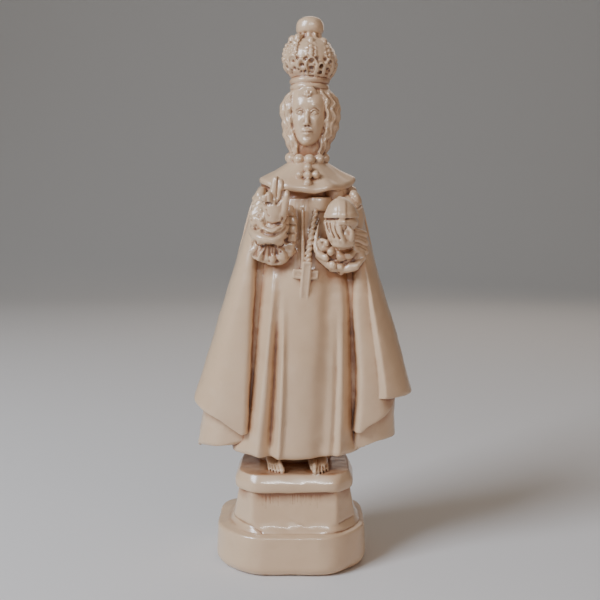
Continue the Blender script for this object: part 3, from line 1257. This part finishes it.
def engraved(points, faces, strokes):
    """Presses lines into the front of the clay: each a path in millimetres, its half width and depth."""
    normals = normals_of(points, faces)
    moved = points.copy()
    for line, width, depth in strokes:
        if len(line) > 2:
            line = through(line, 8 * len(line))
        low, high = line.min(0) - 3 * width, line.max(0) + 3 * width
        low[1] -= 4
        high[1] += 4
        near = np.flatnonzero(np.all((points > low) & (points < high), axis=1) & (normals[:, 1] < 0.3))
        flat = points[near][:, [0, 2]]
        best = np.full(len(near), np.inf)
        for a, b in zip(line[:-1, [0, 2]], line[1:, [0, 2]]):
            way = b - a
            t = np.clip((flat - a) @ way / max(way @ way, 1e-9), 0, 1)
            best = np.minimum(best, np.linalg.norm(flat - a - t[:, None] * way, axis=1))
        push = depth * np.exp(-((best / width) ** 2))
        moved[near] -= normals[near] * push[:, None]
    return moved


def pitted(points, faces, pits):
    """Presses round pits into the clay from any side: each a centre, its radius and its depth."""
    normals = normals_of(points, faces)
    moved = points.copy()
    for centre, radius, depth in pits:
        near = np.flatnonzero(np.all(np.abs(points - centre) < 2 * radius + 1, axis=1))
        away = np.linalg.norm(points[near] - centre, axis=1)
        moved[near] -= normals[near] * (depth * np.exp(-((away / radius) ** 4)))[:, None]
    return moved


# Where the clay is crumpled like lace: an egg of the figure, how deep, and the length of the crumples
CRUMPLED = [((-19.0, -24, 123.0), (12.5, 10, 11.5), 0.22, 3.4),
            ((-26.0, -14, 141.0), (7.0, 14, 14.0), 0.34, 2.8),
            ((20.5, -24, 120.5), (13.5, 9, 13.5), 0.3, 3.0), ((-22.4, -29, 150.0), (3.6, 5, 7.0), 0.22, 2.2)]


def crumpled(points, faces):
    """Small uneven folds in the cuffs and on the outer side of the sleeve."""
    normals = normals_of(points, faces)
    moved = points.copy()
    for seed, (centre, radii, depth, length) in enumerate(CRUMPLED):
        away = np.linalg.norm((points - figure(*centre)) / radii, axis=1)
        near = np.flatnonzero(away < 1)
        amount = depth * ease((1 - away[near]) / 0.25) * wander(points[near], length, 40 + seed)
        moved[near] += normals[near] * amount[:, None]
    return moved


def occupancy(points, faces, cell):
    """How full each cell round the casting is, and the corner of the grid."""
    low = np.floor(points.min(0) / cell).astype(int) - 24
    high = np.ceil(points.max(0) / cell).astype(int) + 24
    grid = openvdb.FloatGrid.createLevelSetFromPolygons(
        points.astype(np.float32), triangles=faces.astype(np.uint32),
        transform=openvdb.createLinearTransform(voxelSize=cell), halfWidth=3.0)
    distance = np.empty(high - low, np.float32)
    grid.copyToArray(distance, ijk=tuple(int(value) for value in low))
    return np.clip(0.5 - distance / cell, 0, 1), low


def blurred(values, reach):
    """A soft blur: three box means along each axis."""
    size = 2 * reach + 1
    for axis in range(3):
        for _ in range(3):
            total = np.cumsum(values, axis=axis, dtype=np.float32)
            ahead = np.take(total, np.minimum(np.arange(values.shape[axis]) + reach,
                                              values.shape[axis] - 1), axis=axis)
            back = np.take(total, np.maximum(np.arange(values.shape[axis]) - reach - 1, 0), axis=axis)
            values = (ahead - back) / size
    return values


def sampled(values, low, cell, points):
    """The grid's values at the points, blended between cells."""
    place = points / cell - low
    whole = np.floor(place).astype(int)
    part = place - whole
    result = np.zeros(len(points))
    for corner in range(8):
        step = np.array([(corner >> axis) & 1 for axis in range(3)])
        weight = np.prod(np.where(step, part, 1 - part), axis=1)
        cells = whole + step
        result += weight * values[cells[:, 0], cells[:, 1], cells[:, 2]]
    return result


def wash_values(points, faces, edges, cell):
    """Where the brown wash gathers: thin in shallow hollows, dark in lines, pits and deep recesses."""
    normals = normals_of(points, faces)
    softened = smoothed(points, edges, 6)
    lines = np.einsum("ij,ij->i", softened - points, normals)
    full, low = occupancy(points, faces, cell)
    outside = points + normals * cell * 0.5
    hollow = sampled(blurred(full, max(1, round(1.0 / cell))), low, cell, outside)
    deep = sampled(blurred(full, max(2, round(3.0 / cell))), low, cell, outside)
    near = blurred(full, max(2, round(2.0 / cell)))
    below = np.maximum(*(sampled(near, low, cell, points + np.array(step))
                         for step in ((0, -1.5, 6.5), (0, -5.0, 8.5))))
    below = ease((below - 0.42) / 0.4)
    pooled = bump(points[:, 2], SLAB_TOP, 1.6) * ease((normals[:, 2] - 0.5) / 0.4)
    return {"lines": lines, "hollow": hollow, "deep": deep, "below": below * (normals[:, 1] < 0.2),
            "pooled": pooled}


def srgb(text):
    """A colour written as sRGB hex, as linear values."""
    values = np.array([int(text[place:place + 2], 16) for place in (1, 3, 5)]) / 255
    linear = np.where(values <= 0.04045, values / 12.92, ((values + 0.055) / 1.055) ** 2.4)
    return (*(float(value) for value in linear), 1.0)


# Lines pressed in the soft clay: a path of the figure, its half width and its depth
FIGURE_STROKES = [
    # blessing hand: between the fingers, beside the thumb, under the curled ones, the palm and the wrist
    ([(-15.2, -32, 160.4), (-15.8, -32.4, 152), (-16.0, -32, 147.4)], 0.35, 0.55),
    ([(-12.6, -31.5, 153.6), (-13.6, -31.5, 149.6), (-15.6, -31.5, 147)], 0.75, 1.1),
    ([(-23.6, -31, 147.8), (-21, -32.5, 147.2), (-18.6, -32.5, 147)], 0.6, 1.0),
    ([(-21.2, -32.5, 151.8), (-21.1, -32.5, 148.6)], 0.4, 0.6),
    ([(-21.4, -31, 144), (-21.0, -31.6, 141.6), (-19.8, -31.8, 140.6)], 0.5, 0.4),
    ([(-20.9, -30, 137.0), (-17.6, -31.5, 136.2), (-13.6, -30, 137.0)], 0.7, 0.9),
    ([(-12.4, -29.5, 139.0), (-12.3, -29.5, 138.4)], 1.0, 1.7),
    ([(-23.4, -30, 133.0), (-20.4, -31, 131.6), (-17.6, -31.5, 130.8), (-15.2, -31, 132.0),
      (-13, -30, 134.2)], 0.8, 1.0),
    # its frill: recesses between the folds, one small pit, and the lines between the flat pleats
    ([(-23.2, -28, 124.6), (-26.4, -27, 119.6)], 0.75, 0.7),
    ([(-21.3, -28, 124.6), (-22.2, -27, 120.4)], 0.45, 0.5),
    ([(-19.4, -28, 124.0), (-19.2, -27, 119.6)], 0.5, 0.6),
    ([(-17.8, -28, 123.8), (-17.8, -27, 120.4)], 0.25, 0.5),
    ([(-16.2, -28, 124.2), (-15.4, -27, 120.6)], 0.7, 0.7),
    ([(-13.4, -28, 122.0), (-13.3, -28, 121.4)], 0.4, 0.8),
    ([(-27, -30, 127.4), (-25.8, -31, 125.6), (-23, -31, 124.9), (-19.8, -31, 126.0), (-15, -31, 124.4),
      (-12, -29, 125.6)], 0.5, 0.6),
    *[([(-10.0, -25, height), (-5.8, -25, height - drop)], 0.4, 1.1)
      for height, drop in ((140.6, -0.3), (136.2, 0), (131.7, 0), (127.2, 0.5))],
    # globe: its belt, between the fingers, the hollow by the thumb and under the hand
    ([(8.6, -35, 138.9), (12.6, -36, 139.1), (16.4, -37, 139.3)], 0.3, 0.9),
    ([(20.2, -37, 139.2), (23.6, -36, 139.4), (27.0, -34, 139.6)], 0.3, 0.9),
    ([(16.6, -37, 135.9), (20.4, -37, 135.9)], 0.25, 0.5),
    ([(10.4, -35, 137.2), (10.9, -36, 135.0), (12.1, -36, 132.0)], 0.32, 1.2),
    ([(12.0, -36, 137.2), (12.8, -36, 133.6), (14.6, -36, 129.4)], 0.34, 1.4),
    ([(14.5, -37, 135.2), (15.4, -37, 132.4), (17.4, -36, 128.9)], 0.36, 1.4),
    ([(21.2, -34, 132.0), (21.6, -34, 131.2)], 1.1, 0.5),
    ([(14.6, -32, 124.2), (19.6, -33, 123.6), (24.6, -31, 124.2)], 0.5, 0.9),
    # its frill: recesses between the folds
    ([(8.6, -25, 126.0), (8.8, -25, 124.6)], 0.6, 0.4),
    ([(13.1, -27, 126.6), (13.3, -27, 125.4)], 0.8, 1.1),
    ([(11.2, -26, 121.0), (14.0, -26, 117.6), (16.0, -26, 118.0)], 0.6, 0.7),
    ([(15.6, -27, 116.4), (18.2, -27, 115.8), (21.6, -27, 116.9)], 0.55, 0.8),
    ([(23.4, -26, 134.0), (27.6, -24, 132.4), (31.6, -22, 132.2)], 0.4, 0.5),
    ([(25.6, -26, 129.2), (29.0, -24, 128.6), (32.2, -22, 127.0)], 0.4, 0.5),
    ([(26.0, -26, 125.0), (29.0, -24, 124.6), (32.4, -22, 122.6)], 0.4, 0.5),
    # the feet: between the toes
    *[([(x - 1.1, -19, 3.2), (x, -23, 0.6)], 0.32, 0.6) for x in (-7.9, -9.8, -11.5, -13.1)],
    *[([(x - 0.2, -20, 3.2), (x, -24, 0.6)], 0.32, 0.6) for x in (12.4, 14.2, 15.9, 17.4)],
    # the shoulder: the lower edge of the lobe beside the globe
    ([(25.4, -17, 146.6), (27.8, -17, 144.9), (29.8, -16, 146.2)], 0.5, 0.8),
]
# Lines on the plinth, in millimetres of the casting: the crease round the pedestal's foot
PLINTH_STROKES = [
    ([(-33.0, -13, 27.4), (-27.6, -20, 27.0), (-22.6, -27, 26.6), (-16.0, -31, 23.9)], 0.6, 0.55),
    ([(34.6, -13, 27.8), (31.0, -20, 27.8), (27.0, -26.6, 27.4)], 0.7, 0.4),
]


def scratches(seed):
    """Short upright scratches under the slab and a few small dents below them."""
    random = np.random.default_rng(seed)
    lines = []
    for low, high, count in ((-18, -7, 14), (1, 9, 9), (-6, 22, 8)):
        for x in random.uniform(low, high, count):
            tall = random.uniform(3.0, 8.0)
            lines.append((np.array([(x, -25, 43.6), (x + 0.1, -25, 43.6 - tall)]), 0.35,
                          random.uniform(0.07, 0.14)))
    for _ in range(7):
        x, z, wide = random.uniform(-12, 6), random.uniform(24.4, 31), random.uniform(1.0, 3.0)
        lines.append((np.array([(x, -27, z), (x + wide, -27, z - 0.3 * wide)]), 1.1,
                      random.uniform(0.06, 0.16)))
    return lines


def worked(points, faces, edges):
    """The softened skin with its crumples, lines, pits and the unevenness of a hand-finished casting."""
    strokes = [(figure(*np.array(path, float).T), width, depth) for path, width, depth in FIGURE_STROKES]
    strokes += [(np.array(path, float), width, depth) for path, width, depth in PLINTH_STROKES]
    points = crumpled(points, faces)
    points = engraved(points, faces, strokes + face_strokes() + scratches(17))
    points = pitted(points, faces, crown_pits())
    uneven = 0.16 * wander(points, 14, 5) + 0.05 * wander(points, 4, 6)
    points = points + normals_of(points, faces) * uneven[:, None]
    points[:, 2] = np.maximum(points[:, 2], 0)
    return smoothed(points, edges, 1)


class StatueSizes(PropertyGroup):
    """Sizes of the statue's skin and of its small repeated forms."""

    height: FloatProperty(
        name="Height", description="Height of the whole statue", unit="LENGTH", subtype="DISTANCE",
        default=CAD_HIGH.z - CAD_LOW.z, min=0.05, max=2.0)
    skin_cell: FloatProperty(
        name="Skin cell", description="Finest detail that the casting keeps, in millimetres",
        default=0.32, min=0.15, max=2.0)
    skin_rounds: IntProperty(
        name="Glaze softness", description="Rounds of softening that the thick glaze gives",
        default=3, min=0, max=40)
    triangles: IntProperty(
        name="Triangles", description="Most triangles in the finished casting",
        default=190000, min=5000, max=199000)
    bead_radius: FloatProperty(
        name="Bead radius", description="Radius of the necklace's beads", unit="LENGTH", subtype="DISTANCE",
        default=0.00285, min=0.0005, max=0.01)
    bead_count: IntProperty(
        name="Beads", description="Beads round the neck", default=10, min=3, max=40)
    rope_radius: FloatProperty(
        name="Rope strand", description="Radius of one strand of the twisted cord", unit="LENGTH",
        subtype="DISTANCE", default=0.00112, min=0.0003, max=0.005)


class GlazeColours(PropertyGroup):
    """Colours and gloss of the glaze."""

    ivory: FloatVectorProperty(
        name="Ivory", description="Glaze on open surfaces", subtype="COLOR", size=4, min=0, max=1,
        default=srgb("#d6b794"))
    brown: FloatVectorProperty(
        name="Wash", description="Brown wash in hollows", subtype="COLOR", size=4, min=0, max=1,
        default=srgb("#9c6840"))
    dark: FloatVectorProperty(
        name="Deep wash", description="Wash in deep recesses", subtype="COLOR", size=4, min=0, max=1,
        default=srgb("#4a2413"))
    roughness: FloatProperty(
        name="Roughness", description="Roughness of the glaze", subtype="FACTOR", default=0.32, min=0, max=1)


class STATUE_OT_plinth(Operator):
    """Build the stepped plinth"""

    bl_idname = "statue.plinth"
    bl_label = "Plinth"

    def execute(self, context):
        add_clay("clay_plinth", plinth_pieces())
        return {"FINISHED"}


class STATUE_OT_gown(Operator):
    """Build the gown with its folds and the bare feet under its hem"""

    bl_idname = "statue.gown"
    bl_label = "Gown and feet"

    def execute(self, context):
        add_clay("clay_gown", gown_pieces())
        add_clay("clay_feet", feet_pieces())
        return {"FINISHED"}


class STATUE_OT_cape(Operator):
    """Build the cape, the layer under its corners and its lapped pleat"""

    bl_idname = "statue.cape"
    bl_label = "Cape"

    def execute(self, context):
        add_clay("clay_cape", cape_pieces())
        add_clay("clay_under_layer", under_layer_pieces())
        add_clay("clay_pleat", pleat_pieces())
        return {"FINISHED"}


class STATUE_OT_collar(Operator):
    """Build the shoulder collar, the bodice and its band"""

    bl_idname = "statue.collar"
    bl_label = "Collar and bodice"

    def execute(self, context):
        add_clay("clay_collar", collar_pieces())
        add_clay("clay_bodice", bodice_pieces())
        return {"FINISHED"}


class STATUE_OT_sleeves(Operator):
    """Build the sleeves and their frills"""

    bl_idname = "statue.sleeves"
    bl_label = "Sleeves and frills"

    def execute(self, context):
        add_clay("clay_sleeves", sleeve_pieces())
        return {"FINISHED"}


class STATUE_OT_hands(Operator):
    """Build the blessing hand, and the hand that holds the globe"""

    bl_idname = "statue.hands"
    bl_label = "Hands and globe"

    def execute(self, context):
        add_clay("clay_blessing_hand", blessing_hand_pieces())
        add_clay("clay_globe", globe_pieces())
        add_clay("clay_globe_hand", globe_hand_pieces())
        return {"FINISHED"}


class STATUE_OT_cords(Operator):
    """Build the plain cord, the twisted cord and the cross that they carry"""

    bl_idname = "statue.cords"
    bl_label = "Cords and cross"

    def execute(self, context):
        plain = [on_gown(-2.2, 144, 0.9), on_gown(-2.0, 130.6, 0.9), on_gown(-1.4, 116.3, 0.9),
                 on_gown(-1.6, 112, 0.6)]
        add_clay("clay_cord", [tube(plain, [0.95, 0.95, 0.95], rows=30), *cross_pieces()])
        spun = [on_gown(5.1, 144, 1.3), on_gown(2.8, 130.6, 1.4), on_gown(1.5, 120, 1.3),
                on_gown(1.3, 115.6, 1.3)]
        path = through(figure(*np.array(spun).T), 40)
        grown("clay_rope", path_mesh("rope path", path), rope_tree(), {
            "Strand Radius": context.scene.statue_sizes.rope_radius, "Twist Length": 0.0062,
            "Material": clay_material()})
        return {"FINISHED"}


class STATUE_OT_necklace(Operator):
    """Thread the necklace and build the cross of beads that hangs from it"""

    bl_idname = "statue.necklace"
    bl_label = "Necklace"

    def execute(self, context):
        sizes = context.scene.statue_sizes
        turn = np.linspace(0, 2 * PI, 61) - PI / 2 + 0.13
        path = figure(9.6 * np.cos(turn), 9.8 * np.sin(turn), 172.4 + 1.4 * np.sin(turn))
        grown("clay_necklace", path_mesh("necklace path", path), bead_tree(), {
            "Count": sizes.bead_count + 1, "Radius": sizes.bead_radius, "Material": clay_material()})
        add_clay("clay_hanging_beads", bead_pieces())
        return {"FINISHED"}


class STATUE_OT_head(Operator):
    """Build the neck, the face, the hair and the jewel on the forehead"""

    bl_idname = "statue.head"
    bl_label = "Head"

    def execute(self, context):
        add_clay("clay_neck", neck_pieces())
        add_clay("clay_face", face_pieces())
        add_clay("clay_hair", hair_pieces())
        add_clay("clay_jewel", forehead_jewel_pieces())
        return {"FINISHED"}


class STATUE_OT_crown(Operator):
    """Build the crown's band, bulb and knob, and copy its arches and petals round it"""

    bl_idname = "statue.crown"
    bl_label = "Crown"

    def execute(self, context):
        add_clay("clay_crown", crown_pieces())
        tree = ring_tree()
        centre = (MM * (CROWN_MIDDLE + float(axis_at(226)) + SLAB_DRIFT), 0, 0)
        step = PI / CROWN_ARCHES
        for name, pieces, first in (("clay_arches", beaded_arch(), CROWN_FIRST),
                                    ("clay_tall_petals", petal(3.0, 225.0, 216.8), CROWN_FIRST),
                                    ("clay_short_petals", petal(2.0, 222.4, 216.6), CROWN_FIRST + step)):
            points, faces = gathered(pieces)
            grown(name, mesh_of(name, points * MM, faces), tree, {
                "Count": CROWN_ARCHES, "First Angle": first, "Centre": centre, "Unevenness": 0.006,
                "Material": clay_material()})
        return {"FINISHED"}


class STATUE_OT_casting(Operator):
    """Skin the clay as one casting, soften and engrave it, gather the wash and glaze it"""

    bl_idname = "statue.casting"
    bl_label = "Casting and glaze"

    def execute(self, context):
        sizes = context.scene.statue_sizes
        points, faces = gathered([mesh_arrays(part.data)[:2] for part in clay_collection().objects])
        block = bpy.data.objects.new("clay_block", mesh_of("clay_block", points * MM, faces))
        context.scene.collection.objects.link(block)
        remesh = block.modifiers.new("Skin", "REMESH")
        remesh.mode = "VOXEL"
        remesh.voxel_size = sizes.skin_cell * 1 * MM
        skinned = evaluated(block)
        block.modifiers.remove(remesh)
        points, faces, edges = mesh_arrays(skinned)
        points = worked(smoothed(points, edges, sizes.skin_rounds), faces, edges)
        washes = wash_values(points, faces, edges, 0.5)
        skinned.vertices.foreach_set("co", (points * MM).astype(np.float32).ravel())
        skinned.update()
        block.data = skinned
        thin = block.modifiers.new("Thin", "DECIMATE")
        thin.ratio = min(1.0, sizes.triangles / len(faces))
        made = evaluated(block)
        bpy.data.objects.remove(block)
        made.name = "glazed_statue"
        final = mesh_arrays(made)[0]
        # The thinned skin takes each wash value from the nearest point of the full one
        tree = KDTree(len(points))
        for index, point in enumerate(points.tolist()):
            tree.insert(point, index)
        tree.balance()
        nearest = np.array([tree.find(point)[1] for point in final.tolist()])
        for name, values in washes.items():
            layer = made.attributes.new(name, "FLOAT", "POINT")
            layer.data.foreach_set("value", values[nearest].astype(np.float32))
        scale = sizes.height / (DRAWN_TOP * MM)
        made.vertices.foreach_set("co", (final * MM * scale).astype(np.float32).ravel())
        made.shade_smooth()
        made.update()
        statue = bpy.data.objects.new("glazed_statue", made)
        context.scene.collection.objects.link(statue)
        made.materials.clear()
        made.materials.append(glaze_material(context.scene.statue_glaze))
        for part in list(clay_collection().objects):
            bpy.data.objects.remove(part)
        bpy.data.collections.remove(clay_collection())
        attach(statue, "root")
        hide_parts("statue")
        return {"FINISHED"}


# How the wash gathers. Each step is a smooth range or a sum, and its inputs are numbers, the names of
# the casting's own measures, the noises or earlier steps.
WASH_STEPS = [
    ("lined", "SMOOTHSTEP", "lines", 0.006, 0.07),
    ("valley", "SMOOTHSTEP", "deep", 0.505, 0.63),
    ("hollowed", "SMOOTHSTEP", "hollow", 0.52, 0.72),
    ("cave", "SMOOTHSTEP", "deep", 0.66, 0.9),
    ("faint", "MULTIPLY", "hollowed", 0.45),
    ("some", "MULTIPLY_ADD", "valley", 0.5, "faint"),
    ("most", "MULTIPLY_ADD", "lined", 0.55, "some"),
    ("sheltered", "MULTIPLY_ADD", "below", 0.5, "most"),
    ("puddled", "MULTIPLY_ADD", "pooled", 0.75, "sheltered"),
    ("clouds", "SMOOTHSTEP", "blotches", 0.25, 0.7, 0.6, 1.2),
    ("patchy", "MULTIPLY", "puddled", "clouds"),
    ("stains", "SMOOTHSTEP", "blotches", 0.45, 0.8, 0.02, 0.12),
    ("stained", "ADD", "patchy", "stains"),
    ("wash", "MINIMUM", "stained", 1.0),
    ("shade", "MULTIPLY", "below", 0.2),
    ("sunk", "MULTIPLY_ADD", "cave", 0.4, "shade"),
    ("pressed", "MULTIPLY_ADD", "hollowed", 0.4, "sunk"),
    ("marked", "MULTIPLY_ADD", "lined", 0.6, "pressed"),
    ("darkest", "SMOOTHSTEP", "marked", 0.45, 1.15),
    ("darkness", "MULTIPLY", "darkest", 0.75),
    ("skin", "MULTIPLY_ADD", "grain", 0.3, "crawl"),
]


def glaze_material(colours):
    """Ivory earthenware glaze over a rubbed brown wash: a soft gloss, brown in every hollow, and fine
    pits and specks where the glaze has crawled."""
    material = bpy.data.materials.new("Ivory glaze over brown wash")
    material.use_nodes = True
    tree = material.node_tree
    tree.nodes.clear()
    place = node(tree, "ShaderNodeTexCoord").outputs["Object"]
    made = {}
    for name in ("lines", "hollow", "deep", "below", "pooled"):
        made[name] = node(tree, "ShaderNodeAttribute",
                          {"attribute_type": "GEOMETRY", "attribute_name": name}).outputs["Fac"]
    # Blotches of about 11 mm in the wash, and a skin of 1.1 mm grain over 4 mm crawled patches
    for name, scale, detail in (("blotches", 90, 3), ("grain", 900, 2), ("crawl", 260, 3)):
        made[name] = node(tree, "ShaderNodeTexNoise", links={
            "Vector": place, "Scale": scale, "Detail": detail, "Roughness": 0.55}).outputs[0]
    for name, work, *values in WASH_STEPS:
        kind, setting = MATH, "operation"
        if work == "SMOOTHSTEP":
            kind, setting = "ShaderNodeMapRange", "interpolation_type"
        given = [made.get(value, value) for value in values]
        made[name] = node(tree, kind, {setting: work}, given).outputs[0]
    # In a mix node of colours, input 0 is the share, 6 and 7 are the two colours, and output 2 is their mix
    tinted = node(tree, "ShaderNodeMix", {"data_type": "RGBA"},
                  {0: made["wash"], 6: colours.ivory, 7: colours.brown}).outputs[2]
    final = node(tree, "ShaderNodeMix", {"data_type": "RGBA"},
                 {0: made["darkness"], 6: tinted, 7: colours.dark}).outputs[2]
    # The glaze is thin and duller where the wash shows through it
    rough = node(tree, "ShaderNodeMapRange", {"interpolation_type": "SMOOTHSTEP"},
                 (made["wash"], 0, 1, colours.roughness, colours.roughness + 0.2)).outputs[0]
    bumpy = node(tree, "ShaderNodeBump", links={"Strength": 0.12, "Distance": 0.0004, "Height": made["skin"]})
    shader = node(tree, "ShaderNodeBsdfPrincipled", links={
        "Base Color": final, "Roughness": rough, "Normal": bumpy.outputs[0], "IOR": 1.5,
        "Coat Weight": 0.8, "Coat Roughness": 0.14})
    node(tree, "ShaderNodeOutputMaterial", links={"Surface": shader.outputs[0]})
    return material


def paper_material():
    """Matt pale paper, as photographers' backdrops are: no gloss, and a soft even light on it."""
    material = bpy.data.materials.new("Matt pale paper")
    material.use_nodes = True
    shader = material.node_tree.nodes["Principled BSDF"]
    shader.inputs["Base Color"].default_value = srgb("#e0deda")
    shader.inputs["Roughness"].default_value = 0.8
    return material


# The photograph's view: the camera's place in metres, its tilt down in degrees and its lens
CAMERA_PLACE = (0.005, -0.470, 0.198)
CAMERA_TILT = 6.035
CAMERA_LENS = 50.19

# Soft lights: name, place, size, watts, colour and what each faces. The card only shines in the glaze.
LIGHTS = [
    ("key", (-1.0, -0.75, 0.95), (0.6, 0.7), 28, "#e8f0ff", (0.005, 0, 0.17)),
    ("fill", (0.8, -1.0, 0.5), (0.9, 0.9), 2.0, "#ffc092", (0.005, 0, 0.15)),
    ("card", (0.1, -1.0, 0.64), (0.6, 0.05), 5.0, "#ffffff", (0.005, 0, 0.06)),
    ("back", (0.3, 1.1, 0.9), (0.9, 0.9), 2.5, "#ffe8d4", (0.005, 0, 0.2)),
]
# The floor is one wide sheet of paper: it reaches this far, and sweeps up from here behind the statue
PAPER_REACH = 6.0
PAPER_BEND = 1.6
PAPER_BEND_STARTS = 1.4


class STATUE_OT_stage(Operator):
    """Set out the pale floor, the soft lights and the camera"""

    bl_idname = "statue.stage"
    bl_label = "Stage"

    def execute(self, context):
        scene = context.scene
        sweep = [(-PAPER_REACH, 0.0)]
        sweep += [(PAPER_BEND_STARTS + PAPER_BEND * np.sin(turn), PAPER_BEND * (1 - np.cos(turn)))
                  for turn in np.linspace(0, PI / 2, 25)]
        sweep.append((PAPER_BEND_STARTS + PAPER_BEND, PAPER_REACH))
        mesh = bpy.data.meshes.new("floor")
        mesh.from_pydata([(x, float(y), float(z)) for y, z in sweep for x in (-PAPER_REACH, PAPER_REACH)], [],
                         [(2 * row, 2 * row + 1, 2 * row + 3, 2 * row + 2) for row in range(len(sweep) - 1)])
        mesh.shade_smooth()
        floor = bpy.data.objects.new("floor", mesh)
        scene.collection.objects.link(floor)
        mesh.materials.append(paper_material())
        world = bpy.data.worlds.new("Studio")
        world.use_nodes = True
        world.node_tree.nodes["Background"].inputs["Color"].default_value = srgb("#ece6de")
        world.node_tree.nodes["Background"].inputs["Strength"].default_value = 0.22
        scene.world = world
        for name, place, size, power, colour, aim in LIGHTS:
            light = bpy.data.lights.new(name, "AREA")
            light.color = srgb(colour)[:3]
            light.shape = "RECTANGLE"
            light.size, light.size_y = size
            light.energy = power
            lamp = bpy.data.objects.new(name, light)
            lamp.location = place
            lamp.rotation_euler = (Vector(aim) - Vector(place)).to_track_quat("-Z", "Y").to_euler()
            lamp.visible_diffuse = name != "card"
            scene.collection.objects.link(lamp)
        camera = bpy.data.cameras.new("camera")
        camera.lens = CAMERA_LENS
        camera.sensor_width = 36
        view = bpy.data.objects.new("camera", camera)
        view.location = CAMERA_PLACE
        view.rotation_euler = (np.radians(90 - CAMERA_TILT), 0, 0)
        scene.collection.objects.link(view)
        scene.camera = view
        return {"FINISHED"}


class STATUE_PT_panel(Panel):
    """The statue's pieces, sizes and colours"""

    bl_idname = "STATUE_PT_panel"
    bl_label = "Glazed statue"
    bl_space_type = "VIEW_3D"
    bl_region_type = "UI"
    bl_category = "Statue"

    def draw(self, context):
        for group in (context.scene.statue_sizes, context.scene.statue_glaze):
            for name in group.__annotations__:
                self.layout.prop(group, name)
        for step in STEPS:
            self.layout.operator(step.bl_idname)


STEPS = (STATUE_OT_plinth, STATUE_OT_gown, STATUE_OT_cape, STATUE_OT_collar, STATUE_OT_sleeves,
         STATUE_OT_hands, STATUE_OT_cords, STATUE_OT_necklace, STATUE_OT_head, STATUE_OT_crown,
         STATUE_OT_casting, STATUE_OT_stage)
GROUPS = {"statue_sizes": StatueSizes, "statue_glaze": GlazeColours}


def register():
    for made in (*GROUPS.values(), *STEPS, STATUE_PT_panel):
        bpy.utils.register_class(made)
    for name, group in GROUPS.items():
        setattr(bpy.types.Scene, name, PointerProperty(type=group))


def unregister():
    for name in GROUPS:
        delattr(bpy.types.Scene, name)
    for made in reversed((*GROUPS.values(), *STEPS, STATUE_PT_panel)):
        bpy.utils.unregister_class(made)


def main():
    register()
    for step in STEPS:
        family, name = step.bl_idname.split(".")
        getattr(getattr(bpy.ops, family), name)()


if __name__ == "__main__":
    main()
